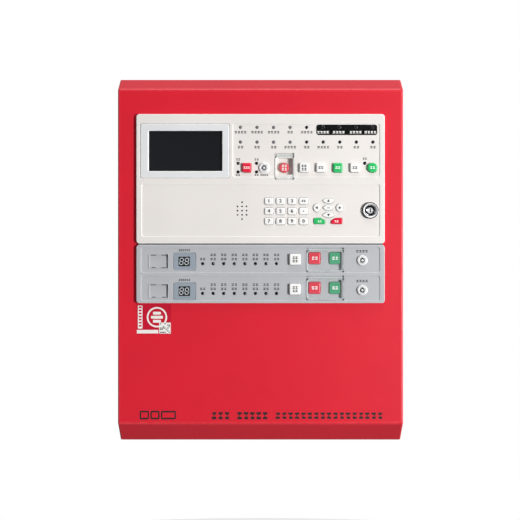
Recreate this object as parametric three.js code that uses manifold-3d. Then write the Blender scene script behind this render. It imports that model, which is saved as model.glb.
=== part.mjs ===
// Wall-mounted fire alarm control panel: a sheet-steel cabinet whose whole front is a hinged door,
// with a main operating fascia and a two-zone release fascia set into the door.
//
// Millimetres. X runs to the right, Z up, and the front faces -Y.
// The origin is the centre of the cabinet's back, on the wall face.

import * as THREE from 'three';
import { mergeVertices } from 'three/addons/utils/BufferGeometryUtils.js';
import Module from 'manifold-3d';

const wasm = await Module();
wasm.setup();

// ---- Driving dimensions ---------------------------------------------------------------------

// Enclosure
const WIDTH = 380;
const HEIGHT = 488.7;
const DEPTH = 132;
const SHEET = 1.5;
const BOX_DEPTH = 90;
const DOOR_DEPTH = 41;
const BOX_RETURN = 15;
const TOP_BEVEL = { rise: 16.9, run: 27 };
const FOOT_BEVEL = { rise: 26.1, run: 31 };

// Door hinges: two lift-off pairs on one vertical axis, in the corner between door and cabinet
const HINGE = { x: -189.5, y: -91, offset: 150, radius: 4.5, knuckle: 26, gap: 0.4 };
const PIN_RADIUS = 2.4;
const PIN_CLEARANCE = 0.3;
const HINGE_RELIEF = 1;

// Depths from the door's front plane: negative stands proud, positive is inside the door
const FASCIA_FRONT = -4;
const PANEL_FLOOR = -3.2;
const FASCIA_BACK = -0.3;
const COVER_FLOOR = -0.6;
const POCKET_FLOOR = 3.4;
const TUB_BACK = 4.8;
const CAP_BACK = 5.6;
const BOARD_FRONT = 7.5;
const BOARD_BACK = 9.1;
const SEAT_GAP = 0.3;

// Outlines on the door's front, as left, right, bottom, top
const MAIN = { left: -165, right: 165, bottom: 22, top: 193.9 };
const ZONES = { left: -165, right: 165, bottom: -57.3, top: 20.2 };
const FASCIA_CORNER = 4;
const LIP = { height: 1.4, front: -1.6 };
const UPPER_PANEL = { left: -36.7, right: 158.5, bottom: 110.5, top: 181.1 };
const LOWER_PANEL = { left: -157.8, right: 158.5, bottom: 31.3, top: 100.5 };
const DISPLAY_RECESS = { left: -160.2, right: -40.9, bottom: 108.5, top: 181.1, floor: -1.4 };
const DISPLAY_APERTURE = { left: -152, right: -47.6, bottom: 112.4, top: 176.6 };
const DISPLAY_WINDOW = { left: -148.4, right: -51.2, bottom: 118.2, top: 171.5 };
const FRAME_PITCH = 37.3;
const CONTROL_PITCH = 39.5;
const ZONE_PANEL = { left: -158.5, right: 158.5, bottom: -16.4, top: 16.6 };

// Indicators
const LED_HOLE = 2.3;
const LED_ROW = { first: -26.8, pitch: 22, count: 9, heights: [176.3, 156.7] };
const SMALL_LED_COLUMNS = [-30, -5.4];
const SMALL_LED_HEIGHTS = [128.5, 117];
const LONE_LED = { x: 138.4, z: 128.6 };
const ZONE_LED_ROW = { first: -77.1, pitch: 14.03, count: 8, z: -4.9 };
const DIGITS = { left: -108.4, right: -94.2, bottom: -7.9, top: 4.1 };

// Push-buttons
const BUTTON_ROW = 122.5;
const SQUARE_CAP = { width: 12, height: 12.4, corner: 2, front: -6.5 };
const ROUND_CAP = { radius: 6.5, front: -6.5 };
const CAP_GAP = 0.4;
const GUARDED_FRONT = -0.8;
const KEYPAD = { left: 11.1, top: 78.3, pitchX: 15.3, pitchZ: 13.4, width: 12.2, height: 9.4 };
const KEY_FRONT = -4.8;
const KEY_CORNER = 2.5;
const NAV = { x: 90.2, z: 69.4 };
const ZONE_WHITE = { x: 45.7, z: 0.8, size: 15, front: -6.7 };
const ZONE_CAPS = { red: 71.9, green: 99.1, z: 2.4, size: 15.8 };

// Flip covers
const MAIN_COVER = { left: 18.7, right: 44.6, bottom: 106.9, top: 142.1 };
const MAIN_POCKET = { left: 20.9, right: 42.9, bottom: 113.5, top: 135.4 };
const ZONE_COVER = { left: 60.6, right: 110.9, bottom: -16.3, top: 16.4 };
const ZONE_POCKET = { left: 62.2, right: 109.4, bottom: -14.6, top: 10.6 };
const COVER = { gap: 0.35, thickness: 1.6, barrel: 1.7, axisDepth: -2.5, pin: 0.9, chamfer: 2.5 };
const COVER_HEADROOM = 0.9;
const TUB_WALL = 1.2;

// Key switches and door lock
const KEY_SWITCH = { flange: 6.9, body: 5.5, bore: 3.8, plug: 3.5, keyway: 3, post: 1.6, front: -5.2 };
const MAIN_SWITCH = { x: 4.7, z: 122.5 };
const ZONE_SWITCH = { x: 135.2, z: -0.5 };
const LOCK = { x: 145.7, z: 65.8, bezel: 11, barrel: 9.2, bore: 7.3, plug: 6.9, slot: 5.6 };
const CAM = { reach: 31, width: 15, front: 20.8, thickness: 2 };

// Inside the cabinet
const GEAR_PLATE = { left: -170, right: 170, bottom: -70, top: 228, front: -12, back: -10.5 };
const BATTERY = { width: 151, height: 94, depth: 65, base: -240, back: -7 };

// ---- Shapes -----------------------------------------------------------------------------------

const ARC_STEPS = 1;
const CORNER_STEPS = 2;
const ROUND_STEPS = 6;
const CAP_STEPS = 8;

/** A rectangle on the front plane with rounded corners. */
function panel({ left, right, bottom, top }, corner = 0) {
  const shape = new THREE.Shape();
  if (corner === 0) {
    shape.moveTo(left, bottom).lineTo(right, bottom).lineTo(right, top).lineTo(left, top);
    return shape;
  }
  shape.moveTo(left + corner, bottom);
  shape.absarc(right - corner, bottom + corner, corner, -Math.PI / 2, 0);
  shape.absarc(right - corner, top - corner, corner, 0, Math.PI / 2);
  shape.absarc(left + corner, top - corner, corner, Math.PI / 2, Math.PI);
  shape.absarc(left + corner, bottom + corner, corner, Math.PI, Math.PI * 1.5);
  return shape;
}

/** A rectangle given by its centre and size. */
function centred(x, z, width, height) {
  return { left: x - width / 2, right: x + width / 2, bottom: z - height / 2, top: z + height / 2 };
}

/** The same rectangle grown outwards on all sides by margin, or shrunk where margin is negative. */
function grown({ left, right, bottom, top }, margin) {
  return { left: left - margin, right: right + margin, bottom: bottom - margin, top: top + margin };
}

/** The same rectangle moved up by rise. */
function raised({ left, right, bottom, top }, rise) {
  return { left, right, bottom: bottom + rise, top: top + rise };
}

function circle(x, z, radius) {
  const shape = new THREE.Shape();
  shape.absarc(x, z, radius, 0, Math.PI * 2);
  return shape;
}

/** An almond outline: two bowed edges that meet at the ends, reaching `above` and `below` its middle. */
function almond(halfWidth, above, below) {
  const shape = new THREE.Shape();
  const shoulder = halfWidth * 0.55;
  shape.moveTo(-halfWidth, 0);
  shape.bezierCurveTo(-shoulder, -below * 1.33, shoulder, -below * 1.33, halfWidth, 0);
  shape.bezierCurveTo(shoulder, above * 1.33, -shoulder, above * 1.33, -halfWidth, 0);
  return shape;
}

// ---- Solids -----------------------------------------------------------------------------------

/** Turns a closed three.js geometry into a solid for cutting and joining. */
function solid(geometry) {
  geometry.deleteAttribute('normal');
  geometry.deleteAttribute('uv');
  const merged = mergeVertices(geometry);
  const vertProperties = new Float32Array(merged.attributes.position.array);
  const triVerts = new Uint32Array(merged.index.array);
  return new wasm.Manifold(new wasm.Mesh({ numProp: 3, vertProperties, triVerts }));
}

/** Extrudes an outline of the front plane along Y, from depth `front` to depth `back`. */
function slab(shape, front, back, curveSegments = ARC_STEPS) {
  const geometry = new THREE.ExtrudeGeometry(shape, {
    depth: back - front,
    bevelEnabled: false,
    curveSegments,
  });
  geometry.rotateX(Math.PI / 2);
  geometry.translate(0, back, 0);
  return solid(geometry);
}

/** A round bar along Y. */
function disc(x, z, radius, front, back, steps = ROUND_STEPS) {
  return slab(circle(x, z, radius), front, back, steps);
}

/** A rectangular block between two depths. */
function block(area, front, back) {
  const width = area.right - area.left;
  const height = area.top - area.bottom;
  const geometry = new THREE.BoxGeometry(width, back - front, height);
  geometry.translate(area.left + width / 2, (front + back) / 2, area.bottom + height / 2);
  return solid(geometry);
}

/** A round bar along X. */
function crossBar(left, right, y, z, radius, sides) {
  const geometry = new THREE.CylinderGeometry(radius, radius, right - left, sides);
  geometry.rotateZ(Math.PI / 2);
  geometry.translate((left + right) / 2, y, z);
  return solid(geometry);
}

/** A round bar along Z. */
function upright(x, y, bottom, top, radius, sides = 24) {
  const geometry = new THREE.CylinderGeometry(radius, radius, top - bottom, sides);
  geometry.rotateX(Math.PI / 2);
  geometry.translate(x, y, (bottom + top) / 2);
  return solid(geometry);
}

/** Extrudes a side profile, drawn as depth across and height up, along X. */
function sideExtrusion(profile, left, right) {
  const geometry = new THREE.ExtrudeGeometry(profile, { depth: right - left, bevelEnabled: false });
  geometry.applyMatrix4(new THREE.Matrix4().set(0, 0, 1, left, 1, 0, 0, 0, 0, 1, 0, 0, 0, 0, 0, 1));
  return solid(geometry);
}

const join = (first, ...others) => others.reduce((whole, part) => whole.add(part), first);
const cut = (body, cutters) => cutters.reduce((left, cutter) => left.subtract(cutter), body);

// ---- Materials and placing -----------------------------------------------------------------

const FINISHES = {
  red: { color: 0xd8262f, roughness: 0.42, metalness: 0 },
  ivory: { color: 0xe8e4e0, roughness: 0.5, metalness: 0 },
  bezel: { color: 0xdfe3e6, roughness: 0.4, metalness: 0 },
  grey: { color: 0xb4b8ba, roughness: 0.5, metalness: 0 },
  black: { color: 0x202126, roughness: 0.15, metalness: 0 },
  keyWhite: { color: 0xf6f5f2, roughness: 0.45, metalness: 0 },
  keyRed: { color: 0xe6163c, roughness: 0.4, metalness: 0 },
  keyGreen: { color: 0x22b45a, roughness: 0.4, metalness: 0 },
  clear: { color: 0xdfe6e6, roughness: 0.1, metalness: 0, transparent: true, opacity: 0.35 },
  chrome: { color: 0xc4c6cc, roughness: 0.15, metalness: 1 },
  steel: { color: 0xb9bcc0, roughness: 0.4, metalness: 1 },
  board: { color: 0x1f6b42, roughness: 0.55, metalness: 0 },
  battery: { color: 0x2b2c30, roughness: 0.55, metalness: 0 },
  terminal: { color: 0x2f7d4f, roughness: 0.5, metalness: 0 },
};
const finish = Object.fromEntries(
  Object.entries(FINISHES).map(([name, look]) => [name, new THREE.MeshStandardMaterial(look)]),
);

const panelGroup = new THREE.Group();
const cabinet = new THREE.Group();
const front = new THREE.Group();
front.position.y = -DEPTH;
panelGroup.add(cabinet, front);

/** Adds one named piece to a group at (x, 0, z). */
function place(group, name, body, look, x = 0, z = 0) {
  const { vertProperties, triVerts } = body.getMesh();
  const geometry = new THREE.BufferGeometry();
  geometry.setAttribute('position', new THREE.BufferAttribute(vertProperties, 3));
  geometry.setIndex(new THREE.BufferAttribute(triVerts, 1));
  const mesh = new THREE.Mesh(geometry, look);
  mesh.name = name;
  mesh.position.set(x, 0, z);
  group.add(mesh);
}

// ---- Cabinet ------------------------------------------------------------------------------------

const SIDE = WIDTH / 2;
const HALF_HEIGHT = HEIGHT / 2;
const outer = { left: -SIDE, right: SIDE, bottom: -HALF_HEIGHT, top: HALF_HEIGHT };
const inner = grown(outer, -SHEET);

/** The two heights of each hinge: its centre splits the cabinet's knuckle from the door's. */
const hingeCentres = [HINGE.offset, -HINGE.offset];

function knuckle(y, bottom, top) {
  return upright(HINGE.x, y, bottom, top, HINGE.radius);
}

function pinBore(y, centre) {
  const reach = HINGE.knuckle + 1;
  return upright(HINGE.x, y, centre - reach, centre + reach, PIN_RADIUS + PIN_CLEARANCE);
}

/** Room around a knuckle of the other leaf. */
function knuckleRelief(y, bottom, top) {
  const radius = HINGE.radius + HINGE_RELIEF;
  return block(
    { left: HINGE.x - radius, right: HINGE.x + radius, bottom: bottom - 0.5, top: top + 0.5 },
    y - radius,
    y + radius,
  );
}

/** A hanging hole: a round hole for the screw's head with a narrow slot above it. */
function keyhole(x, z) {
  const slot = centred(x, z + 7, 5.4, 12);
  return join(disc(x, z, 5, -SHEET - 1, 1, 4), block(slot, -SHEET - 1, 1));
}

function backBox() {
  const shell = block(outer, -BOX_DEPTH, 0).subtract(block(inner, -BOX_DEPTH + SHEET, -SHEET));
  const mouth = block(grown(inner, -BOX_RETURN), -BOX_DEPTH - 1, -BOX_DEPTH + SHEET + 1);
  const keyholes = [-140, 140].flatMap((x) => [-196, 190].map((z) => keyhole(x, z)));
  const reliefs = hingeCentres.map((z) => knuckleRelief(HINGE.y, z, z + HINGE.knuckle));
  const knuckles = hingeCentres.map((z) => knuckle(HINGE.y, z - HINGE.knuckle, z - HINGE.gap));
  const bores = hingeCentres.map((z) => pinBore(HINGE.y, z));
  return cut(join(cut(shell, [mouth, ...keyholes, ...reliefs]), ...knuckles, lockCatch()), bores);
}

/** The hook on the cabinet's right edge that the lock's cam turns behind. */
function lockCatch() {
  const wall = { left: 179.6, right: 181.1, bottom: 48, top: 84 };
  const tongue = { ...wall, left: 170 };
  const hookFront = CAM.front - DEPTH - 3;
  return join(
    block(wall, hookFront, -BOX_DEPTH + SHEET / 2),
    block(tongue, hookFront, hookFront + SHEET),
  );
}

place(cabinet, 'back_box', backBox(), finish.red);
hingeCentres.forEach((z, index) => {
  const reach = HINGE.knuckle - 2;
  const pin = upright(0, HINGE.y, z - reach, z + reach, PIN_RADIUS);
  place(cabinet, index === 0 ? 'upper_hinge_pin' : 'lower_hinge_pin', pin, finish.steel, HINGE.x);
});

/** Galvanised plate on four stand-offs that carries the electronics. */
function gearPlate() {
  const sheet = block(GEAR_PLATE, GEAR_PLATE.front, GEAR_PLATE.back);
  const studs = [-158, 158].flatMap((x) =>
    [-58, 216].map((z) => disc(x, z, 5, GEAR_PLATE.back, -SHEET - SEAT_GAP)),
  );
  return join(sheet, ...studs);
}

/** Mother board with its relays, processor, transformer block and field connectors. */
function mainBoard() {
  const mount = GEAR_PLATE.front - SEAT_GAP;
  const face = mount - 8;
  const board = block({ left: -150, right: 66, bottom: -40, top: 196 }, face - 1.6, face);
  const studs = [-142, 58].flatMap((x) => [-32, 188].map((z) => disc(x, z, 3, face, mount)));
  const relays = [0, 1, 2, 3, 4].map((i) => centred(-130 + i * 24, 172, 18, 22));
  const headers = [0, 1, 2].map((i) => centred(-110 + i * 60, -24, 46, 11));
  const processor = centred(-60, 78, 34, 34);
  const transformer = centred(24, 96, 44, 38);
  const parts = [
    ...relays.map((area) => block(area, face - 17, face - 1)),
    ...headers.map((area) => block(area, face - 12, face - 1)),
    block(processor, face - 4.2, face - 1),
    block(transformer, face - 24, face - 1),
  ];
  return join(board, ...studs, ...parts);
}

/** Row of field-wiring clamps along the top of the gear plate. */
function terminalStrip() {
  const mount = GEAR_PLATE.front - SEAT_GAP;
  const base = block({ left: -150, right: 150, bottom: 203, top: 223 }, mount - 11, mount);
  const count = 21;
  const pitch = 300 / (count - 1);
  const fins = Array.from({ length: count }, (_, i) => {
    const x = Math.min(Math.max(-150 + i * pitch, -149), 149);
    return block(centred(x, 213, 2, 20), mount - 17, mount - 10);
  });
  return join(base, ...fins);
}

/** Enclosed switching supply with its terminal ledge at the bottom. */
function powerSupply() {
  const mount = GEAR_PLATE.front - SEAT_GAP;
  const tray = block({ left: 80, right: 164, bottom: 14, top: 192 }, mount - 14, mount);
  const hood = block({ left: 80, right: 164, bottom: 32, top: 192 }, mount - 38, mount - 13);
  return join(tray, hood);
}

place(cabinet, 'gear_plate', gearPlate(), finish.steel);
place(cabinet, 'main_board', mainBoard(), finish.board);
place(cabinet, 'terminal_strip', terminalStrip(), finish.terminal);
place(cabinet, 'power_supply', powerSupply(), finish.steel);

/** Sealed lead-acid battery with two blade terminals on top. */
function battery() {
  const { width, height, depth, back } = BATTERY;
  const bottom = BATTERY.base;
  const top = bottom + height;
  const case_ = block({ left: -width / 2, right: width / 2, bottom, top }, back - depth, back);
  const blades = [-1, 1].map((side) =>
    block(centred(side * (width / 2 - 10), top + 3, 6.3, 7), back - 12.8, back - 12),
  );
  return join(case_, ...blades);
}

place(cabinet, 'battery_left', battery(), finish.battery, -BATTERY.width / 2 - 3);
place(cabinet, 'battery_right', battery(), finish.battery, BATTERY.width / 2 + 3);

/** Bent strap that keeps both batteries against the back of the cabinet. */
function batteryStrap() {
  const side = BATTERY.width + 3 + 4;
  const strap = { left: -side - 2, right: side + 2, bottom: -212, top: -186 };
  const faceFront = BATTERY.back - BATTERY.depth - 2.3;
  const bar = block(strap, faceFront, faceFront + 2);
  const legs = [-side - 2, side].map((left) =>
    block({ ...strap, left, right: left + 2 }, faceFront, -SHEET - SEAT_GAP),
  );
  const feet = [-side - 16, side].map((left) =>
    block({ ...strap, left, right: left + 16 }, -SHEET - SEAT_GAP - 2, -SHEET - SEAT_GAP),
  );
  return join(bar, ...legs, ...feet);
}

place(cabinet, 'battery_strap', batteryStrap(), finish.steel);

// ---- Door -----------------------------------------------------------------------------------------

/** Side profile of the door, from its front plane back, set in on every side by the sheet's thickness. */
function doorProfile(inset, rear) {
  const slope = ({ rise, run }) => {
    const slant = Math.hypot(rise, run);
    return {
      crease: HALF_HEIGHT - rise + (inset * (rise - slant)) / run,
      shoulder: run + (inset * (slant - run)) / rise,
    };
  };
  const top = slope(TOP_BEVEL);
  const foot = slope(FOOT_BEVEL);
  const edge = HALF_HEIGHT - inset;
  const profile = new THREE.Shape();
  profile.moveTo(inset, -foot.crease);
  profile.lineTo(foot.shoulder, -edge);
  profile.lineTo(rear, -edge);
  profile.lineTo(rear, edge);
  profile.lineTo(top.shoulder, edge);
  profile.lineTo(inset, top.crease);
  return profile;
}

/** Opening behind the main fascia: full width at the top, and stopping short of the lock below. */
function mainCutout() {
  const shape = new THREE.Shape();
  const step = 104;
  shape.moveTo(-157, 28);
  shape.lineTo(120, 28);
  shape.lineTo(120, step);
  shape.lineTo(157, step);
  shape.lineTo(157, 190);
  shape.lineTo(-157, 190);
  return slab(shape, -1, SHEET + 1);
}

function doorPanel() {
  const shell = sideExtrusion(doorProfile(0, DOOR_DEPTH), -SIDE, SIDE);
  const hollow = sideExtrusion(doorProfile(SHEET, DOOR_DEPTH + 1), -SIDE + SHEET, SIDE - SHEET);
  const axisDepth = HINGE.y + DEPTH;
  const zoneCutout = block({ left: -157, right: 157, bottom: -55.2, top: 18.2 }, -1, SHEET + 1);
  const lockHole = disc(LOCK.x, LOCK.z, LOCK.barrel + 0.5, -1, SHEET + 1);
  const reliefs = hingeCentres.map((z) => knuckleRelief(axisDepth, z - HINGE.knuckle, z));
  const knuckles = hingeCentres.map((z) => knuckle(axisDepth, z + HINGE.gap, z + HINGE.knuckle));
  const bores = hingeCentres.map((z) => pinBore(axisDepth, z));
  const sheet = cut(shell, [hollow, mainCutout(), zoneCutout, lockHole, ...reliefs]);
  return cut(join(sheet, ...knuckles), bores);
}

place(front, 'door_panel', doorPanel(), finish.red);

// ---- Buttons: each record is one outline, its place and its depths ---------------------------

const buttons = [];

/** Notes a push-button, so that its hole is cut and its cap placed. */
function addButton(name, look, x, z, outline, capFront, inPocket = false) {
  buttons.push({ name, look, x, z, outline, capFront, inPocket });
}

/** Outlines are functions of how far they grow, because a cap and its hole share one shape. */
const boxCap = (width, height, corner) => (grow) =>
  panel(grown(centred(0, 0, width, height), grow), corner);
const squareCap = boxCap(SQUARE_CAP.width, SQUARE_CAP.height, SQUARE_CAP.corner);
const keyCap = boxCap(KEYPAD.width, KEYPAD.height, KEY_CORNER);
const blockCap = (size) => boxCap(size, size, SQUARE_CAP.corner);
const roundCap = (grow) =>
  new THREE.Shape(circle(0, 0, ROUND_CAP.radius + grow).getPoints(CAP_STEPS).slice(0, -1));

addButton('mute_button_red', finish.keyRed, -18.4, BUTTON_ROW, squareCap, SQUARE_CAP.front);
addButton('guarded_button_red', finish.keyRed, 31.5, 123, roundCap, GUARDED_FRONT, true);
addButton('row_button_white_1', finish.keyWhite, 57.5, BUTTON_ROW, squareCap, SQUARE_CAP.front);
addButton('row_button_white_2', finish.keyWhite, 79.9, BUTTON_ROW, squareCap, SQUARE_CAP.front);
addButton('row_button_green', finish.keyGreen, 102.4, BUTTON_ROW, squareCap, SQUARE_CAP.front);
addButton('row_button_white_3', finish.keyWhite, 124.9, BUTTON_ROW, squareCap, SQUARE_CAP.front);
addButton('round_button_green', finish.keyGreen, 148.4, BUTTON_ROW, roundCap, ROUND_CAP.front);

const keyRows = [
  ['1', '2', '3', 'page'],
  ['4', '5', '6', 'point'],
  ['7', '8', '9', '0'],
];
keyRows.forEach((row, rowIndex) => {
  row.forEach((legend, column) => {
    const x = KEYPAD.left + column * KEYPAD.pitchX;
    const z = KEYPAD.top - rowIndex * KEYPAD.pitchZ;
    addButton(`key_${legend}`, finish.keyWhite, x, z, keyCap, KEY_FRONT);
  });
});

/** Arrow keys around the oval centre key. */
const crossKey = (above, below, halfWidth = 8) => (grow) =>
  new THREE.Shape(
    almond(halfWidth + grow * 1.5, above + grow, below + grow).getPoints(ROUND_STEPS).slice(0, -1),
  );
const sideKey = (outward, inward, facing) => (grow) => {
  const lying = almond(6 + grow * 1.5, outward + grow, inward + grow);
  const points = lying.getPoints(ROUND_STEPS).slice(0, -1);
  return new THREE.Shape(points.map((p) => new THREE.Vector2(-facing * p.y, facing * p.x)));
};
addButton('nav_up', finish.keyWhite, NAV.x, NAV.z + 9.6, crossKey(3, 4), KEY_FRONT);
addButton('nav_centre', finish.keyWhite, NAV.x, NAV.z, crossKey(3.7, 3.7, 7.6), KEY_FRONT);
addButton('nav_down', finish.keyWhite, NAV.x, NAV.z - 10, crossKey(4.4, 3), KEY_FRONT);
addButton('nav_left', finish.keyWhite, NAV.x - 15.6, NAV.z, sideKey(4.6, 5, 1), KEY_FRONT);
addButton('nav_right', finish.keyWhite, NAV.x + 15, NAV.z, sideKey(4.6, 5, -1), KEY_FRONT);

/** Confirm and cancel: a bar with its upper edge sloping down towards the cluster's middle. */
const wedgeCap = (facing) => (grow) => {
  const outerEdge = -7.4 - grow;
  const innerEdge = 7.6 + grow;
  const foot = -4 - grow;
  const points = [
    [outerEdge + 1.4, foot],
    [innerEdge - 1.8, foot],
    [innerEdge, foot + 1.8],
    [innerEdge - 0.6, 0.7 + grow],
    [1.2, 4 + grow],
    [outerEdge + 1.4, 4 + grow],
    [outerEdge, 2.6 + grow],
    [outerEdge, foot + 1.4],
  ];
  const ordered = facing > 0 ? points : points.reverse();
  return new THREE.Shape(ordered.map(([x, z]) => new THREE.Vector2(facing * x, z)));
};
addButton('confirm_key', finish.keyGreen, NAV.x - 12, 51.9, wedgeCap(1), KEY_FRONT);
addButton('cancel_key', finish.keyRed, NAV.x + 10.8, 51.9, wedgeCap(-1), KEY_FRONT);

/** Each zone's strip and cover sit at `frame`, and its controls, slightly wider apart, at `controls`. */
const zones = [0, 1].map((index) => ({
  name: `zone_${index + 1}`,
  frame: -index * FRAME_PITCH,
  controls: -index * CONTROL_PITCH,
}));
zones.forEach(({ name: zone, controls }) => {
  const white = { ...ZONE_WHITE, z: ZONE_WHITE.z + controls };
  const pairHeight = ZONE_CAPS.z + controls;
  const pairCap = blockCap(ZONE_CAPS.size);
  addButton(`${zone}_silence`, finish.keyWhite, white.x, white.z, blockCap(white.size), white.front);
  addButton(`${zone}_start`, finish.keyRed, ZONE_CAPS.red, pairHeight, pairCap, GUARDED_FRONT, true);
  addButton(`${zone}_stop`, finish.keyGreen, ZONE_CAPS.green, pairHeight, pairCap, GUARDED_FRONT, true);
});

/** The holes that the buttons of one fascia pass through. */
function buttonHoles(area) {
  return buttons
    .filter(({ z }) => z > area.bottom && z < area.top)
    .map(({ x, z, outline, inPocket }) => {
      const mouth = inPocket ? 0 : FASCIA_FRONT - 1;
      const hole = slab(outline(CAP_GAP), mouth, CAP_BACK + 1, CORNER_STEPS);
      return hole.translate([x, 0, z]);
    });
}

for (const { name, look, x, z, outline, capFront } of buttons) {
  place(front, name, slab(outline(0), capFront, CAP_BACK, CORNER_STEPS), look, x, z);
}

// ---- Flip covers ----------------------------------------------------------------------------------

/** Height of a cover's hinge axis, just under the top of its recess. */
const coverAxis = (recess) => recess.top - COVER_HEADROOM - COVER.barrel;

/** Clear flap with clipped lower corners, hung on a round bar with a stub pin at each end. */
function flipCover(recess) {
  const edge = grown(recess, -COVER.gap);
  const axis = coverAxis(recess);
  const { chamfer, barrel, axisDepth, pin } = COVER;
  const flap = new THREE.Shape();
  flap.moveTo(edge.left + chamfer, edge.bottom);
  flap.lineTo(edge.right - chamfer, edge.bottom);
  flap.lineTo(edge.right, edge.bottom + chamfer);
  flap.lineTo(edge.right, axis - barrel - chamfer);
  flap.lineTo(edge.right - chamfer, axis - barrel);
  flap.lineTo(edge.right - chamfer, axis);
  flap.lineTo(edge.left + chamfer, axis);
  flap.lineTo(edge.left + chamfer, axis - barrel);
  flap.lineTo(edge.left, axis - barrel - chamfer);
  flap.lineTo(edge.left, edge.bottom + chamfer);
  const coverFront = axisDepth - barrel;
  return join(
    slab(flap, coverFront, coverFront + COVER.thickness),
    crossBar(edge.left + chamfer, edge.right - chamfer, axisDepth, axis, barrel, 16),
    crossBar(recess.left - 1, recess.right + 1, axisDepth, axis, pin, 12),
  );
}

/** The moulded tub behind a cover: outer block, and what is hollowed out of it. */
function coverTub(recess, pocket) {
  const axis = coverAxis(recess);
  const { pin, axisDepth } = COVER;
  return {
    body: block(grown(recess, TUB_WALL), FASCIA_FRONT + 0.5, TUB_BACK),
    hollows: [
      block(recess, FASCIA_FRONT - 1, COVER_FLOOR),
      block(pocket, COVER_FLOOR - 1, POCKET_FLOOR),
      crossBar(recess.left - 1.4, recess.right + 1.4, axisDepth, axis, pin + 0.25, 12),
    ],
  };
}

place(front, 'main_cover', flipCover(MAIN_COVER), finish.clear);
zones.forEach(({ name, frame }) => {
  place(front, `${name}_cover`, flipCover(raised(ZONE_COVER, frame)), finish.clear);
});

// ---- Fascias ----------------------------------------------------------------------------------------

const ledHole = (x, z) => disc(x, z, LED_HOLE, FASCIA_FRONT - 1, CAP_BACK, 4);
const boss = (x, z) => disc(x, z, 3, FASCIA_BACK - 1, BOARD_FRONT - SEAT_GAP, 4);
const switchHole = ({ x, z }) => disc(x, z, KEY_SWITCH.body + CAP_GAP, FASCIA_FRONT - 1, CAP_BACK);

/** Grille: a centre column of five holes with three more on either side. */
const GRILLE = { x: -24.7, z: 65.6, pitchX: 6, pitchZ: 5.6, hole: 1 };

function grilleHoles() {
  const places = [-1, 0, 1].flatMap((column) => {
    const reach = column === 0 ? 2 : 1;
    return Array.from({ length: 2 * reach + 1 }, (_, i) => [column, i - reach]);
  });
  return places.map(([column, row]) => {
    const x = GRILLE.x + column * GRILLE.pitchX;
    const z = GRILLE.z + row * GRILLE.pitchZ;
    return disc(x, z, GRILLE.hole, FASCIA_FRONT - 1, FASCIA_BACK + 1, 3);
  });
}

function mainFascia() {
  const plate = slab(panel(MAIN, FASCIA_CORNER), FASCIA_FRONT, FASCIA_BACK, CORNER_STEPS);
  const tub = coverTub(MAIN_COVER, MAIN_POCKET);
  const bosses = [[-34, 184], [70, 184], [152, 184], [-34, 107], [6, 38], [112, 38]];
  const leds = LED_ROW.heights.flatMap((z) =>
    Array.from({ length: LED_ROW.count }, (_, i) => ledHole(LED_ROW.first + i * LED_ROW.pitch, z)),
  );
  const smallLeds = SMALL_LED_COLUMNS.flatMap((x) => SMALL_LED_HEIGHTS.map((z) => ledHole(x, z)));
  const cutters = [
    slab(panel(UPPER_PANEL, 3), FASCIA_FRONT - 1, PANEL_FLOOR),
    slab(panel(LOWER_PANEL, 3), FASCIA_FRONT - 1, PANEL_FLOOR),
    slab(panel(DISPLAY_RECESS, 3), FASCIA_FRONT - 1, DISPLAY_RECESS.floor),
    block(DISPLAY_APERTURE, FASCIA_FRONT - 1, FASCIA_BACK + 1),
    ...tub.hollows,
    ...leds,
    ...smallLeds,
    ledHole(LONE_LED.x, LONE_LED.z),
    ...grilleHoles(),
    switchHole(MAIN_SWITCH),
    disc(LOCK.x, LOCK.z, LOCK.barrel + 0.5, FASCIA_FRONT - 1, FASCIA_BACK + 1),
    ...buttonHoles(MAIN),
  ];
  return cut(join(plate, tub.body, ...bosses.map(([x, z]) => boss(x, z))), cutters);
}

/** Zone fascia: one plate with two sunk strips, and a lip that closes the joint above it. */
function zoneFascia() {
  const plate = slab(panel(ZONES, FASCIA_CORNER), FASCIA_FRONT, FASCIA_BACK, CORNER_STEPS);
  const lip = { left: ZONES.left + 6, right: ZONES.right - 6, bottom: ZONES.top - 1 };
  const lipTop = ZONES.top + LIP.height;
  const lipBar = block({ ...lip, top: lipTop }, LIP.front, FASCIA_BACK);
  const tubs = zones.map(({ frame }) =>
    coverTub(raised(ZONE_COVER, frame), raised(ZONE_POCKET, frame)),
  );
  const bosses = [-118, -20, 30, 152].flatMap((x) => [12, -50].map((z) => boss(x, z)));
  const perZone = zones.flatMap(({ frame, controls }) => [
    slab(panel(raised(ZONE_PANEL, frame), 2), FASCIA_FRONT - 1, PANEL_FLOOR),
    block(raised(grown(DIGITS, 0.5), controls), FASCIA_FRONT - 1, FASCIA_BACK + 1),
    switchHole({ x: ZONE_SWITCH.x, z: ZONE_SWITCH.z + controls }),
    ...Array.from({ length: ZONE_LED_ROW.count }, (_, i) =>
      ledHole(ZONE_LED_ROW.first + i * ZONE_LED_ROW.pitch, ZONE_LED_ROW.z + controls),
    ),
  ]);
  const hollows = tubs.flatMap((tub) => tub.hollows);
  const body = join(plate, lipBar, ...tubs.map((tub) => tub.body), ...bosses);
  return cut(body, [...perZone, ...hollows, ...buttonHoles(ZONES)]);
}

place(front, 'main_fascia', mainFascia(), finish.ivory);
place(front, 'zone_fascia', zoneFascia(), finish.grey);

// ---- Display, boards and speaker ----------------------------------------------------------------

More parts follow.
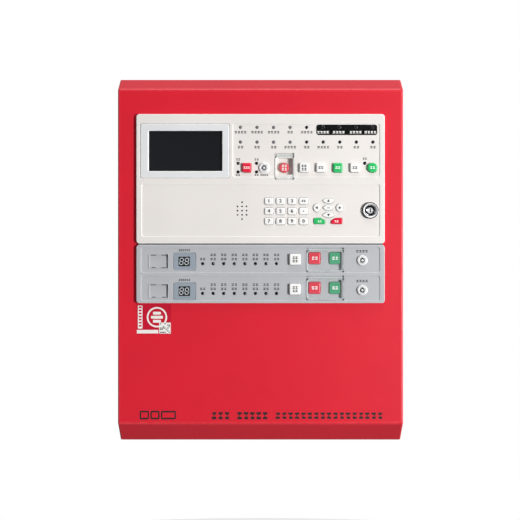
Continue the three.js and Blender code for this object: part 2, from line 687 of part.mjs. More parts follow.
const bezelArea = grown(DISPLAY_RECESS, -0.4);
const bezelRing = slab(panel(bezelArea, 3), FASCIA_FRONT - 0.2, DISPLAY_RECESS.floor - SEAT_GAP);
const bezelOpening = block(DISPLAY_WINDOW, FASCIA_FRONT - 1, 0);
place(front, 'display_bezel', bezelRing.subtract(bezelOpening), finish.bezel);
const glassArea = grown(DISPLAY_APERTURE, -0.4);
place(front, 'display_window', block(glassArea, DISPLAY_RECESS.floor, 0.1), finish.black);
place(front, 'display_module', block(DISPLAY_APERTURE, 0.4, 8), finish.steel);

/** Body of a key switch, standing on its board and passing out through the fascia. */
function switchBody({ x, z }) {
  const { flange, body, front: face } = KEY_SWITCH;
  return join(
    disc(x, z, flange, face, PANEL_FLOOR - SEAT_GAP),
    disc(x, z, body, PANEL_FLOOR - 1, BOARD_FRONT + 0.5),
  );
}

const switchBore = ({ x, z }) => disc(x, z, KEY_SWITCH.bore, KEY_SWITCH.front - 1, 6.8);

/** Main keyboard: upper part behind the indicators and row buttons, lower part behind the keypad. */
function keyBoard() {
  const upper = { left: -38, right: 156, bottom: 105.5, top: 187 };
  const lower = { left: 2, right: 118, bottom: 34, top: 106 };
  const boards = [upper, lower].map((area) => block(area, BOARD_FRONT, BOARD_BACK));
  return join(...boards, switchBody(MAIN_SWITCH)).subtract(switchBore(MAIN_SWITCH));
}

/** Zone keyboard: carries both digit displays and both key switches. */
function zoneBoard() {
  const board = block({ left: -122, right: 155, bottom: -53.5, top: 16 }, BOARD_FRONT, BOARD_BACK);
  const digits = zones.map(({ controls }) =>
    block(raised(DIGITS, controls), PANEL_FLOOR, BOARD_FRONT + 0.5),
  );
  const switches = zones.map(({ controls }) => ({ x: ZONE_SWITCH.x, z: ZONE_SWITCH.z + controls }));
  return cut(join(board, ...digits, ...switches.map(switchBody)), switches.map(switchBore));
}

place(front, 'key_board', keyBoard(), finish.board);
place(front, 'zone_board', zoneBoard(), finish.board);

/** Round loudspeaker, turned from its frame's rim back to its magnet. */
function speaker() {
  const rim = 20;
  const magnet = 11;
  const outline = [
    [0, 0], [rim, 0], [rim, 2], [magnet + 2, 7], [magnet, 7], [magnet, 13], [0, 13],
  ].map(([radius, depth]) => new THREE.Vector2(radius, depth));
  const geometry = new THREE.LatheGeometry(outline, 24);
  return solid(geometry);
}

place(front, 'speaker', speaker(), finish.steel, GRILLE.x, GRILLE.z);

// ---- Key plugs and door lock ----------------------------------------------------------------------

/** A turning plug with a key slot across its face. */
function slottedPlug(radius, face, rear, slotHeight) {
  const slot = block(centred(0, 0, 1.4, slotHeight), face - 1, face + 2.5);
  return disc(0, 0, radius, face, rear).subtract(slot);
}

/** A turning plug with a ring-shaped keyway about a post, and a locating notch above the ring. */
function tubularPlug({ plug: radius, keyway, post }, face, rear) {
  const ring = disc(0, 0, keyway, face - 1, face + 2.5).subtract(disc(0, 0, post, face - 2, rear));
  const notch = block(centred(0, (keyway + radius) / 2, 0.9, radius - keyway + 0.4), face - 1, face + 1.5);
  return disc(0, 0, radius, face, rear).subtract(ring).subtract(notch);
}

const switchPlug = tubularPlug(KEY_SWITCH, KEY_SWITCH.front - 0.4, 6);
place(front, 'main_switch_plug', switchPlug, finish.chrome, MAIN_SWITCH.x, MAIN_SWITCH.z);
zones.forEach(({ name, controls }) => {
  const height = ZONE_SWITCH.z + controls;
  place(front, `${name}_switch_plug`, switchPlug, finish.chrome, ZONE_SWITCH.x, height);
});

const lockBody = join(
  disc(0, 0, LOCK.bezel, -6.4, PANEL_FLOOR - SEAT_GAP),
  disc(0, 0, LOCK.barrel, PANEL_FLOOR - 1, 20),
).subtract(disc(0, 0, LOCK.bore, -8, 21));
place(front, 'lock_body', lockBody, finish.chrome, LOCK.x, LOCK.z);
place(front, 'lock_plug', slottedPlug(LOCK.plug, -5.6, 20.4, LOCK.slot), finish.chrome, LOCK.x, LOCK.z);

/** The lock's cam, hanging down while the door is unlocked. */
function lockCam() {
  const half = CAM.width / 2;
  const shape = new THREE.Shape();
  shape.absarc(0, 0, half, 0, Math.PI);
  shape.lineTo(-half, -CAM.reach + 3);
  shape.lineTo(-half + 3, -CAM.reach);
  shape.lineTo(half - 3, -CAM.reach);
  shape.lineTo(half, -CAM.reach + 3);
  return slab(shape, CAM.front, CAM.front + CAM.thickness, 4);
}

place(front, 'lock_cam', lockCam(), finish.steel, LOCK.x, LOCK.z);

export default panelGroup;
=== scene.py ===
import math
import random

import bmesh
import bpy
from mathutils import Matrix, Vector


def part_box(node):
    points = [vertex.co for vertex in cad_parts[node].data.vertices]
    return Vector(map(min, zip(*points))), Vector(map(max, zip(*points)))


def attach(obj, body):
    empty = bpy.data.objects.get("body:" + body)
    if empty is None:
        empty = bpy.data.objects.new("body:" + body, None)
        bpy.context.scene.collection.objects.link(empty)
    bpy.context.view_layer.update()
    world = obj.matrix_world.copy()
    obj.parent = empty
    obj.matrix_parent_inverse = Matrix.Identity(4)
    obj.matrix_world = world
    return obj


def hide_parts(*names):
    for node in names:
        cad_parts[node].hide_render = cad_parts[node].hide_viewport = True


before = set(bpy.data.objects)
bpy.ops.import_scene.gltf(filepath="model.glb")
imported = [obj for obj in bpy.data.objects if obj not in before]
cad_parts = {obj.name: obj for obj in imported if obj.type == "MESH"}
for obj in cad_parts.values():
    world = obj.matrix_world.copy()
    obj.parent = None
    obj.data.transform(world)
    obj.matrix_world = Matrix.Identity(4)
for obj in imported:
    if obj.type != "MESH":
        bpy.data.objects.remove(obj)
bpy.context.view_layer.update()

MM = 0.001


def cad(node):
    """A CAD node's box in millimetres: left, right, front, back, bottom, top."""
    low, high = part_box(node)
    return [value / MM for value in (low.x, high.x, low.y, high.y, low.z, high.z)]


DOOR_PLANE = cad("door_panel")[2]
WALL_PLANE = 0.0


def area_of(node):
    """A CAD node's left, right, bottom and top."""
    left, right, _, _, bottom, top = cad(node)
    return (left, right, bottom, top)


def depths_of(node):
    """The depths of a CAD node's front and back."""
    return [value - DOOR_PLANE for value in cad(node)[2:4]]


def new_object(name, data):
    made = bpy.data.objects.new(name, data)
    bpy.context.scene.collection.objects.link(made)
    return made


# ---- Materials ----

EDGE_RUB_AND_HIGHLIGHT = "rub_and_highlight"
MIX_FACTOR, MIX_FIRST, MIX_SECOND, MIX_RESULT = 0, 6, 7, 2
MATERIALS = {}


def linear(rgb):
    """An sRGB colour of three 0-255 values as linear red, green, blue and alpha."""
    parts = [value / 255 for value in rgb]
    return [p / 12.92 if p <= 0.04045 else ((p + 0.055) / 1.055) ** 2.4 for p in parts] + [1.0]


def put(tree, node, values):
    """Sets a node's inputs: a socket is linked, and anything else is a value."""
    for key, value in values.items():
        if isinstance(value, bpy.types.NodeSocket):
            tree.links.new(value, node.inputs[key])
        else:
            node.inputs[key].default_value = value
    return node


def add(tree, kind, values):
    return put(tree, tree.nodes.new("ShaderNode" + kind), values)


def noise(tree, space, scale, stretch, detail=3.0):
    """A noise factor over the frame's metres, drawn out along an axis where stretch is given."""
    if stretch:
        space = add(tree, "Mapping", {"Vector": space, "Scale": stretch}).outputs["Vector"]
    return add(tree, "TexNoise", {"Vector": space, "Scale": scale, "Detail": detail}).outputs["Fac"]


def remap(tree, value, low, high, start=0.3, end=0.7):
    limits = {"From Min": start, "From Max": end, "To Min": low, "To Max": high}
    return add(tree, "MapRange", {"Value": value, **limits}).outputs["Result"]


def times(tree, first, second):
    node = add(tree, "Math", {0: first, 1: second})
    node.operation = "MULTIPLY"
    return node.outputs["Value"]


def mix(tree, factor, first, second):
    node = tree.nodes.new("ShaderNodeMix")
    node.data_type = "RGBA"
    put(tree, node, {MIX_FACTOR: factor, MIX_FIRST: first, MIX_SECOND: second})
    return node.outputs[MIX_RESULT]


def make_look(name, rgb, rough, grain, bump, spread, rubbed_and_lit_edge_rgb=None, rub_and_highlight=0.5, metal=0.0, depth=0.00004,
              blotch=14, stretch=None, coat=0.0, alpha=1.0, rough_spread=0.08):
    """A procedural finish: mottling at two scales, grained roughness and bump, and rounded edges tinted
    paler, partly rubbed and partly a painted highlight.
    """
    material = bpy.data.materials.new(name)
    material.use_nodes = True
    tree = material.node_tree
    space = tree.nodes.new("ShaderNodeTexCoord").outputs["Object"]
    base = linear(rgb)
    dark = [c * (1 - spread) for c in base[:3]] + [1.0]
    light = [min(1.0, c * (1 + spread)) for c in base[:3]] + [1.0]
    broad = remap(tree, noise(tree, space, blotch, stretch), 0.0, 1.0)
    colour = mix(tree, broad, dark, light)
    fine = noise(tree, space, grain, stretch)
    # Marked edges fade to a paler colour: partly rubbing, partly a painted highlight where rounded edges
    # catch the light.
    if rubbed_and_lit_edge_rgb:
        edge = tree.nodes.new("ShaderNodeAttribute")
        edge.attribute_name = EDGE_RUB_AND_HIGHLIGHT
        patchy = remap(tree, noise(tree, space, 160, None, 4.0), 0.25, 1.0)
        amount = remap(tree, times(tree, edge.outputs["Fac"], patchy), 0.0, rub_and_highlight, 0.0, 1.0)
        colour = mix(tree, amount, colour, linear(rubbed_and_lit_edge_rgb))
    relief = add(tree, "Bump", {"Height": fine, "Strength": bump, "Distance": depth})
    put(tree, tree.nodes["Principled BSDF"], {
        "Base Color": colour, "Metallic": metal, "Alpha": alpha, "Normal": relief.outputs["Normal"],
        "Coat Weight": coat, "Coat Roughness": 0.12,
        "Roughness": remap(tree, fine, max(rough - rough_spread, 0.02), rough + rough_spread)})
    MATERIALS[name] = material
    return material


# Name, colour, roughness, grain, bump, colour spread, the paler edge colour (rubbing and a painted edge
# highlight) and its strength, and the rest
make_look("red_paint", (218, 27, 48), 0.42, 1100, 0.25, 0.03, (232, 70, 78), 0.5, coat=0.06)
# The ivory and bezel edges fade to near white: a painted highlight on their rounded rims.
make_look("ivory", (231, 226, 222), 0.5, 1600, 0.12, 0.018, (255, 255, 252), 0.9)
make_look("bezel", (224, 226, 227), 0.42, 1500, 0.1, 0.02, (255, 255, 255), 1.0)
make_look("grey", (181, 183, 187), 0.5, 1600, 0.14, 0.025, (216, 218, 219), 0.8)
make_look("card", (181, 183, 187), 0.55, 700, 0.15, 0.03, (206, 208, 208), 0.5)
make_look("smoke_blue", (150, 160, 171), 0.35, 1400, 0.08, 0.03, (198, 208, 216), 0.6)
make_look("glass_black", (30, 32, 35), 0.16, 500, 0.02, 0.12, (60, 62, 68), 0.4, blotch=6,
          rough_spread=0.03)
make_look("border_black", (6, 6, 8), 0.3, 900, 0.04, 0.1)
make_look("lens_dark", (26, 24, 26), 0.16, 700, 0.03, 0.2, (70, 68, 70), 0.3, rough_spread=0.04)
# A lighter copy of the dark lens: a painted reflection for the lenses at the left.
make_look("lens_painted_reflection", (112, 110, 112), 0.2, 700, 0.03, 0.15, (150, 148, 150), 0.3, rough_spread=0.04)
make_look("segment", (216, 222, 226), 0.3, 900, 0.03, 0.05)
make_look("white_cap", (243, 242, 240), 0.45, 1700, 0.1, 0.015, (255, 255, 255), 0.5)
make_look("red_cap", (226, 26, 58), 0.35, 1500, 0.06, 0.05, (246, 92, 112), 0.5)
make_look("dull_green_cap", (52, 160, 112), 0.35, 1500, 0.06, 0.05, (120, 200, 160), 0.5)
make_look("green_cap", (34, 190, 100), 0.35, 1500, 0.06, 0.05, (110, 220, 158), 0.5)
make_look("clear", (226, 234, 234), 0.08, 400, 0.02, 0.02, (250, 252, 252), 0.6, alpha=0.035,
          rough_spread=0.03)
make_look("clear_rim", (236, 242, 242), 0.14, 400, 0.02, 0.02, (250, 252, 252), 0.6, alpha=0.3,
          rough_spread=0.03)
make_look("chrome", (208, 210, 216), 0.16, 1200, 0.04, 0.05, (236, 236, 240), 0.4, metal=1.0,
          rough_spread=0.05)
# Nickel lightened to near white: a real nickel finish with a painted reflection of bright surroundings
# in its colour.
make_look("satin", (240, 240, 241), 0.34, 1200, 0.05, 0.03, (255, 255, 255), 0.6, metal=0.25)
# Chrome darkened as painted shade.
make_look("shaded_chrome", (52, 54, 60), 0.22, 1200, 0.04, 0.1, (120, 124, 132), 0.4, metal=1.0)
make_look("zinc", (186, 190, 194), 0.38, 220, 0.06, 0.12, (216, 218, 220), 0.4, blotch=40, metal=0.9)
make_look("brushed", (180, 183, 188), 0.32, 260, 0.12, 0.06, (222, 222, 226), 0.4, metal=1.0,
          stretch=(1, 1, 14))
make_look("brass", (196, 160, 88), 0.3, 900, 0.05, 0.08, (222, 194, 128), 0.4, metal=1.0)
make_look("board", (22, 92, 56), 0.4, 240, 0.12, 0.12, (150, 160, 96), 0.6, blotch=60, coat=0.2)
make_look("trace", (46, 128, 78), 0.4, 240, 0.05, 0.08, blotch=60, coat=0.2)
make_look("black_plastic", (34, 35, 38), 0.5, 1500, 0.14, 0.08, (74, 75, 78), 0.5)
make_look("battery", (46, 47, 52), 0.55, 1300, 0.2, 0.07, (92, 93, 96), 0.5)
make_look("terminal", (44, 122, 78), 0.45, 1400, 0.1, 0.05, (104, 168, 128), 0.5)
make_look("relay", (38, 84, 150), 0.4, 1400, 0.08, 0.05, (110, 146, 196), 0.5)
make_look("shaded_gap_strip", (104, 106, 108), 0.8, 1600, 0.3, 0.08)
make_look("foam", (40, 41, 43), 0.85, 1600, 0.6, 0.15, depth=0.0002)
make_look("ink", (52, 52, 56), 0.6, 2500, 0.05, 0.1)
make_look("ink_dark", (34, 28, 32), 0.5, 2500, 0.05, 0.1)
make_look("ink_white", (246, 246, 244), 0.6, 2500, 0.05, 0.02)
make_look("crimson_film", (198, 12, 48), 0.4, 900, 0.04, 0.04)
make_look("white_film", (240, 238, 234), 0.45, 900, 0.04, 0.02)
make_look("cone_paper", (52, 50, 48), 0.85, 900, 0.5, 0.1)
# Near-black for holes, recesses and slots: painted shade standing in for their dark hollows.
make_look("painted_slot_shade", (26, 25, 26), 0.7, 900, 0.1, 0.1)

# ---- Outlines: counter-clockwise points (x, z), seen from the front ----


def arc(x, z, radius, start, end, steps):
    """Points on a circle between two angles in degrees, both ends included."""
    turns = [math.radians(start + (end - start) * step / steps) for step in range(steps + 1)]
    return [(x + radius * math.cos(turn), z + radius * math.sin(turn)) for turn in turns]


def rounded(left, right, bottom, top, corner=0, steps=6):
    """A rectangle with rounded corners."""
    if corner <= 0:
        return [(left, bottom), (right, bottom), (right, top), (left, top)]
    centres = [(right - corner, bottom + corner, -90), (right - corner, top - corner, 0),
               (left + corner, top - corner, 90), (left + corner, bottom + corner, 180)]
    return [p for x, z, turn in centres for p in arc(x, z, corner, turn, turn + 90, steps)]


def centred(x, z, width, height, corner=0):
    return rounded(x - width / 2, x + width / 2, z - height / 2, z + height / 2, corner)


def circle(x, z, radius, steps=36):
    turn = 2 * math.pi / steps
    return [(x + radius * math.cos(i * turn), z + radius * math.sin(i * turn)) for i in range(steps)]


def grown(area, margin):
    left, right, bottom, top = area
    return (left - margin, right + margin, bottom - margin, top + margin)


def lifted(area, rise):
    left, right, bottom, top = area
    return (left, right, bottom + rise, top + rise)


def middle(area):
    left, right, bottom, top = area
    return ((left + right) / 2, (bottom + top) / 2)


def bezier(corners, steps):
    points = []
    for step in range(steps):
        t = step / steps
        weights = ((1 - t) ** 3, 3 * t * (1 - t) ** 2, 3 * t * t * (1 - t), t ** 3)
        points.append(tuple(sum(w * c[i] for w, c in zip(weights, corners)) for i in (0, 1)))
    return points


def almond(half, above, below, steps=12):
    """Two bowed edges that meet at the ends."""
    low, high = -below * 4 / 3, above * 4 / 3
    shoulder = half * 0.55
    lower = bezier(((-half, 0), (-shoulder, low), (shoulder, low), (half, 0)), steps)
    upper = bezier(((half, 0), (shoulder, high), (-shoulder, high), (-half, 0)), steps)
    return lower + upper


def offset(points, distance):
    """A closed outline moved inwards by distance, or outwards where distance is negative."""
    moved = []
    for i, (x, z) in enumerate(points):
        before, after = points[i - 1], points[(i + 1) % len(points)]
        first = Vector((x - before[0], z - before[1])).normalized()
        second = Vector((after[0] - x, after[1] - z)).normalized()
        normal = Vector((-first.y - second.y, first.x + second.x))
        reach = distance * 2 / max(normal.length_squared, 0.8)
        moved.append((x + normal.x * reach, z + normal.y * reach))
    return moved


def span(depth, outward, tall):
    """The two depths, in order, of what stands on a face."""
    return sorted((depth, depth + outward * tall))


# ---- Building pieces ----

FACING_UP = Matrix.Rotation(math.radians(90), 4, "X")
FACING_RIGHT = Matrix.Rotation(math.radians(90), 4, "Z")
PRINT = random.Random(5)
INK = 0.03
SHEET = 1.5
BEND = 2.0
SHARP_ANGLE = math.radians(35)


def edge_rings(radius, depth, inward, support, steps):
    """Rings (inset, depth, edge mark) from a flat end, over its rounded edge and a little down its side;
    the mark asks for the paler edge tint, rubbing with a painted highlight.
    """
    if radius <= 0:
        return [(0.0, depth, 0.0)]
    rings = [(radius + support, depth, 0.0), (radius, depth, 0.6)]
    for step in range(1, steps + 1):
        angle = math.pi / 2 * step / steps
        inset = radius * (1 - math.sin(angle))
        rings.append((inset, depth + inward * radius * (1 - math.cos(angle)), 1.0))
    return rings + [(0.0, depth + inward * (radius + support), 0.0)]


class Piece:
    """One mesh under construction. Every shape is drawn in a local frame of x, depth and z."""

    def __init__(self, name, plane=DOOR_PLANE):
        self.name = name
        self.bm = bmesh.new()
        self.rub_and_highlight = self.bm.verts.layers.float.new(EDGE_RUB_AND_HIGHLIGHT)
        self.looks = []
        self.plane = plane
        self.at()

    def at(self, x=0, depth=0, z=0, facing=Matrix.Identity(4)):
        """Draws what follows around a point, and turned, as FACING_UP turns depth into height."""
        self.place = Matrix.Translation((x, self.plane + depth, z)) @ facing
        return self

    def index(self, look):
        if look not in self.looks:
            self.looks.append(look)
        return self.looks.index(look)

    def vert(self, x, depth, z, rub_and_highlight=0.0):
        vertex = self.bm.verts.new((self.place @ Vector((x, depth, z))) * MM)
        vertex[self.rub_and_highlight] = rub_and_highlight
        return vertex

    def face(self, verts, index):
        self.bm.faces.new(verts).material_index = index

    def fill(self, loops, index):
        """Closes a flat end bounded by an outer loop and any hole loops."""
        if len(loops) == 1:
            self.face(loops[0], index)
            return
        pairs = [(loop[i - 1], loop[i]) for loop in loops for i in range(len(loop))]
        edges = [self.bm.edges.get(pair) or self.bm.edges.new(pair) for pair in pairs]
        made = bmesh.ops.triangle_fill(self.bm, use_beauty=True, use_dissolve=False, edges=edges)
        for item in made["geom"]:
            if isinstance(item, bmesh.types.BMFace):
                item.material_index = index

    def slab(self, look, outline, front, back, edge=0, back_edge=0, holes=(), hole_edge=0,
             support=0.4, steps=3):
        """Extrudes an outline between two depths, with its edges rounded and its holes pierced."""
        index = self.index(look)
        first, last = [], []
        for number, points in enumerate([outline, *holes]):
            side, radius, rear = (1, edge, back_edge) if number == 0 else (-1, hole_edge, 0)
            rings = edge_rings(radius, front, 1, support, steps)
            rings += reversed(edge_rings(rear, back, -1, support, steps))
            grid = []
            for inset, depth, rub_and_highlight in rings:
                moved = offset(points, side * inset) if inset else points
                grid.append([self.vert(p[0], depth, p[1], rub_and_highlight) for p in moved])
            for near, far in zip(grid, grid[1:]):
                for i in range(len(points)):
                    self.face((near[i - 1], near[i], far[i], far[i - 1]), index)
            first.append(grid[0])
            last.append(grid[-1])
        self.fill(first, index)
        self.fill(last, index)

    def plate(self, look, area, front, back, edge=0, corner=0, **shape):
        """A slab over an area: left, right, bottom and top."""
        self.slab(look, rounded(*area, corner), front, back, edge, **shape)

    def block(self, look, x, z, width, height, front, back, edge=0, corner=0, **shape):
        """A slab centred on (x, z)."""
        self.slab(look, centred(x, z, width, height, corner), front, back, edge, **shape)

    def disc(self, look, x, z, radius, front, back, edge=0, sides=40, bore=None, **shape):
        """A round slab centred on (x, z), pierced where bore gives an outline."""
        holes = [bore] if bore else ()
        self.slab(look, circle(x, z, radius, sides), front, back, edge, holes=holes, **shape)

    def turned(self, look, x, z, profile, steps=32):
        """Turns (radius, depth) pairs, from the front back, about the depth axis through (x, z)."""
        index = self.index(look)
        rings = []
        for radius, depth in profile:
            points = circle(x, z, radius, steps) if radius > 0 else [(x, z)]
            rings.append([self.vert(px, depth, pz) for px, pz in points])
        for near, far in zip(rings, rings[1:]):
            for i in range(steps):
                front_pair = [near[i - 1], near[i]] if len(near) > 1 else near
                back_pair = [far[i], far[i - 1]] if len(far) > 1 else far
                self.face(front_pair + back_pair, index)
        for ring in (rings[0], rings[-1]):
            if len(ring) > 1:
                self.face(ring, index)

    def screw(self, x, z, depth, radius, outward=-1):
        """A pan head with a cross recess, standing on a face at depth."""
        high = depth + outward * radius * 0.62
        dome = [(radius * 0.55, high), (radius * 0.85, high - outward * radius * 0.14),
                (radius, high - outward * radius * 0.4), (radius, depth)]
        self.turned("zinc", x, z, dome if outward < 0 else dome[::-1], 20)
        # The cross recess is a near-black block: painted shade in its hollow.
        for width, height in ((radius, radius * 0.22), (radius * 0.22, radius)):
            near, far = sorted((high + outward * 0.04, high - outward * 0.3))
            self.block("painted_slot_shade", x, z, width, height, near, far)

    def bars(self, look, x, z, depth, count, width=3.3, height=3.0, gap=0.8):
        """A plain stand-in for a printed word: a row of split blocks centred on (x, z)."""
        start = x - (count * width + (count - 1) * gap) / 2
        stroke = height * 0.34
        for i in range(count):
            left = start + i * (width + gap)
            for low in (z - height / 2, z + height / 2 - stroke):
                short = PRINT.uniform(0.0, 0.22) * width
                self.plate(look, (left + short, left + width, low, low + stroke), depth - INK, depth)
            upright = left + PRINT.uniform(0.3, 0.6) * width
            area = (upright, upright + width * 0.2, z - height / 2, z + height / 2)
            self.plate(look, area, depth - INK - 0.005, depth)

    def text(self, look, words, x, z, depth, size):
        """Printed digits, centred on (x, z)."""
        curve = bpy.data.curves.new("print", "FONT")
        curve.body = words
        curve.size = size
        curve.extrude = 0.05
        curve.offset = 0.09
        curve.align_x = curve.align_y = "CENTER"
        holder = bpy.data.objects.new("print", curve)
        mesh = bpy.data.meshes.new_from_object(holder)
        upright = self.place @ Matrix.Translation((x, depth, z)) @ FACING_UP
        mesh.transform(Matrix.Scale(MM, 4) @ upright)
        before = len(self.bm.faces)
        self.bm.from_mesh(mesh)
        self.bm.faces.ensure_lookup_table()
        index = self.index(look)
        for made in self.bm.faces[before:]:
            made.material_index = index
        bpy.data.objects.remove(holder)
        bpy.data.curves.remove(curve)
        bpy.data.meshes.remove(mesh)

    def folded_shell(self, profile, left, right, front_holes, back_holes):
        """A tray of folded sheet: a side profile (depth, z) carried from left to right and hollowed.

        Holes are pierced in its flat front and back. A back of None is left open.
        """
        index = self.index("red_paint")
        bm = self.bm
        nearest, deepest = [pick(depth for depth, _ in profile) for pick in (min, max)]
        ends = [[self.vert(x, depth, z) for depth, z in profile] for x in (left, right)]
        for i in range(len(profile)):
            self.face((ends[0][i - 1], ends[0][i], ends[1][i], ends[1][i - 1]), index)
        for end in ends:
            self.face(end, index)
        bmesh.ops.recalc_face_normals(bm, faces=bm.faces)
        rear = (self.plane + deepest) * MM
        rims = [e for e in bm.edges if all(abs(v.co.y - rear) < 1e-7 for v in e.verts)]
        folds = [e for e in bm.edges if back_holes is not None or e not in rims]
        bmesh.ops.bevel(bm, geom=folds, offset=BEND * MM, segments=4, profile=0.5, affect="EDGES",
                        clamp_overlap=True, material=index)
        flats = sorted(bm.faces, key=lambda f: -f.calc_area())[: len(profile) + 2]
        # Every bend is marked for the paler edge tint, a painted highlight along the creases as well as
        # rubbing; the flats are cleared below.
        for vertex in bm.verts:
            vertex[self.rub_and_highlight] = 1.0
        bmesh.ops.inset_individual(bm, faces=flats, thickness=2.5 * MM)
        for vertex in [v for flat in flats for v in flat.verts]:
            vertex[self.rub_and_highlight] = 0.0
        front, back = [pick(flats, key=lambda f: f.calc_center_median().y) for pick in (min, max)]
        for flat, depth, holes in ((front, nearest, front_holes), (back, deepest, back_holes)):
            outer = list(flat.verts)
            bmesh.ops.delete(bm, geom=[flat], context="FACES_ONLY")
            if holes is None:
                strip = {f for v in outer for f in v.link_faces if abs(f.normal.y) > 0.9}
                bmesh.ops.delete(bm, geom=list(strip), context="FACES")
                continue
            loops = [[self.vert(x, depth, z) for x, z in points] for points in holes]
            self.fill([outer, *loops], index)
        bmesh.ops.recalc_face_normals(bm, faces=bm.faces)
        bmesh.ops.solidify(bm, geom=bm.faces[:], thickness=SHEET * MM)

    def done(self, body, slot, *nodes):
        """Turns the drawing into an object that rides on a body and stands for its CAD nodes."""
        bmesh.ops.recalc_face_normals(self.bm, faces=self.bm.faces)
        mesh = bpy.data.meshes.new(self.name)
        self.bm.to_mesh(mesh)
        self.bm.free()
        for look in self.looks:
            mesh.materials.append(MATERIALS[look])
        mesh.shade_smooth()
        mesh.set_sharp_from_angle(angle=SHARP_ANGLE)
        made = new_object(self.name, mesh)
        made.modifiers.new("normals", "WEIGHTED_NORMAL").keep_sharp = True
        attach(made, body)
        if nodes:
            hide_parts(*nodes)


# ---- Places on the fascias: areas are left, right, bottom and top ----

PANEL_FLOOR, FASCIA_FRONT, FASCIA_BACK = -3.2, -4.0, -0.3
CAP_GAP = 0.4
UPPER_PANEL = (-36.7, 158.5, 110.5, 181.1)
LOWER_PANEL = (-157.8, 158.5, 31.3, 100.5)
DISPLAY_RECESS = (-160.2, -40.9, 108.5, 181.1)
DISPLAY_APERTURE = grown(area_of("display_window"), 0.4)
VISIBLE_SCREEN = (-148.4, -51.2, 118.2, 171.5)
ZONE_STRIP = (-158.5, 158.5, -16.4, 16.6)
FRAME_PITCH, CONTROL_PITCH = 37.3, 39.5
LED_COLUMNS = [-26.8 + 22 * i for i in range(9)]
LED_ROWS = (176.3, 156.7)
SMALL_LEDS = [(x, z) for x in (-30, -5.4) for z in (128.5, 117)]
LONE_LED = (138.4, 128.6)
MAIN_LEDS = [(x, z) for z in LED_ROWS for x in LED_COLUMNS] + SMALL_LEDS + [LONE_LED]
# Lenses in the four left columns are lightened as a painted reflection.
REFLECTING_LEDS = [(x, z) for z in LED_ROWS for x in LED_COLUMNS[:4]]
ZONE_LEDS = [-77.1 + 14.03 * i for i in range(8)]
ZONE_LED_HEIGHT = -4.9
LED_HOLE = 2.3
LEGEND_STRIP = (74.0, 155.1, 166.0, 179.9)
STRIP_START = 5
UPPER_WORDS, LOWER_WORDS, KEY_WORDS = 169.8, 149.9, 112.9
INK_PLANE = PANEL_FLOOR - 0.02
STRIP_SHIFTS = (0.2, 1.4, 1.0, 3.4)
DIGITS = (-108.4, -94.2, -7.9, 4.1)
DIGIT_PLATE = (-115.5, -86.2, -13.6, 9.6)
LABEL_HOLDER = (-149.2, -122.1, -11.5, 8.3)
LABEL_SLOTS = ((6.6, 17.9, 7.1), (21.0, 17.9, 7.1), (7.2, 1.6, 4.8), (20.4, 1.6, 4.8))
MAIN_COVER = (18.7, 44.6, 106.9, 142.1)
MAIN_POCKET, MAIN_POCKET_FLOOR = (20.9, 42.9, 113.5, 135.4), 3.4
ZONE_COVER = (60.6, 110.9, -16.3, 16.4)
ZONE_POCKET, ZONE_POCKET_FLOOR = (62.6, 107.7, -13.4, 11.0), 0.9
COVER_FLOOR = -0.6
FLAP_BAR, FLAP_CLIP, FLAP_DEPTH, FLAP_LEDGE = 1.7, 2.8, -2.5, -2.9
FLAP_AXIS_DROP = 0.9 + FLAP_BAR
BOARD_FRONT, BOARD_BACK = 7.5, 9.1
MAIN_BOSSES = [(-34, 184), (70, 184), (152, 184), (-34, 107), (6, 38), (112, 38)]
ZONE_BOSSES = [(x, z) for x in (-118, -20, 30, 152) for z in (12, -50)]
MAIN_SWITCH = middle(area_of("main_switch_plug"))
ZONE_SWITCHES = [middle(area_of(f"zone_{n}_switch_plug")) for n in (1, 2)]
SWITCH_HOLE = 5.9
LOCK = middle(area_of("lock_plug"))
GRILLE = middle(area_of("speaker"))
GRILLE_HOLES = [
    (GRILLE[0] + column * 6, GRILLE[1] + row * 5.6)
    for column in (-1, 0, 1) for row in range(-2, 3) if abs(row) <= (2 if column == 0 else 1)
]
ZONES = [
    {"name": f"zone_{i + 1}", "frame": -i * FRAME_PITCH, "controls": -i * CONTROL_PITCH}
    for i in (0, 1)
]

# ---- Push-buttons: each has a shape, and a style of look, material slot and ink ----

WHITE = ("white_cap", "white_cap", "ink_dark")
RED = ("red_cap", "red_cap", "ink_white")
GREEN = ("green_cap", "green_cap", "ink_white")
DULL_GREEN = ("dull_green_cap", "green_cap", "ink_white")
KEY_LEGENDS = ["1", "2", "3", "page", "4", "5", "6", "point", "7", "8", "9", "0"]
BUTTONS = {
    "mute_button_red": ("square", RED), "guarded_button_red": ("round", RED),
    "row_button_white_1": ("square", WHITE), "row_button_white_2": ("square", WHITE),
    "row_button_green": ("square", GREEN), "row_button_white_3": ("square", WHITE),
    "round_button_green": ("round", GREEN),
    **{f"key_{legend}": ("key", WHITE) for legend in KEY_LEGENDS},
    "nav_up": ("bow", WHITE), "nav_centre": ("bow", WHITE), "nav_down": ("bow", WHITE),
    "nav_left": ("side", WHITE), "nav_right": ("side", WHITE),
    "confirm_key": ("wedge", GREEN), "cancel_key": ("wedge", RED),
}
for zone in ZONES:
    BUTTONS[zone["name"] + "_silence"] = ("square", WHITE)
    BUTTONS[zone["name"] + "_start"] = ("square", RED)
    BUTTONS[zone["name"] + "_stop"] = ("square", DULL_GREEN)
MAIN_CAPS = [n for n in BUTTONS if not n.startswith("zone_") and n != "guarded_button_red"]
CAP_CORNERS = {"square": 2.0, "key": 2.5}
CAP_EDGES = {"square": 1.4, "round": 1.4, "key": 1.5, "bow": 0.9, "side": 0.9, "wedge": 0.9}
TALL_CAP = -5.5
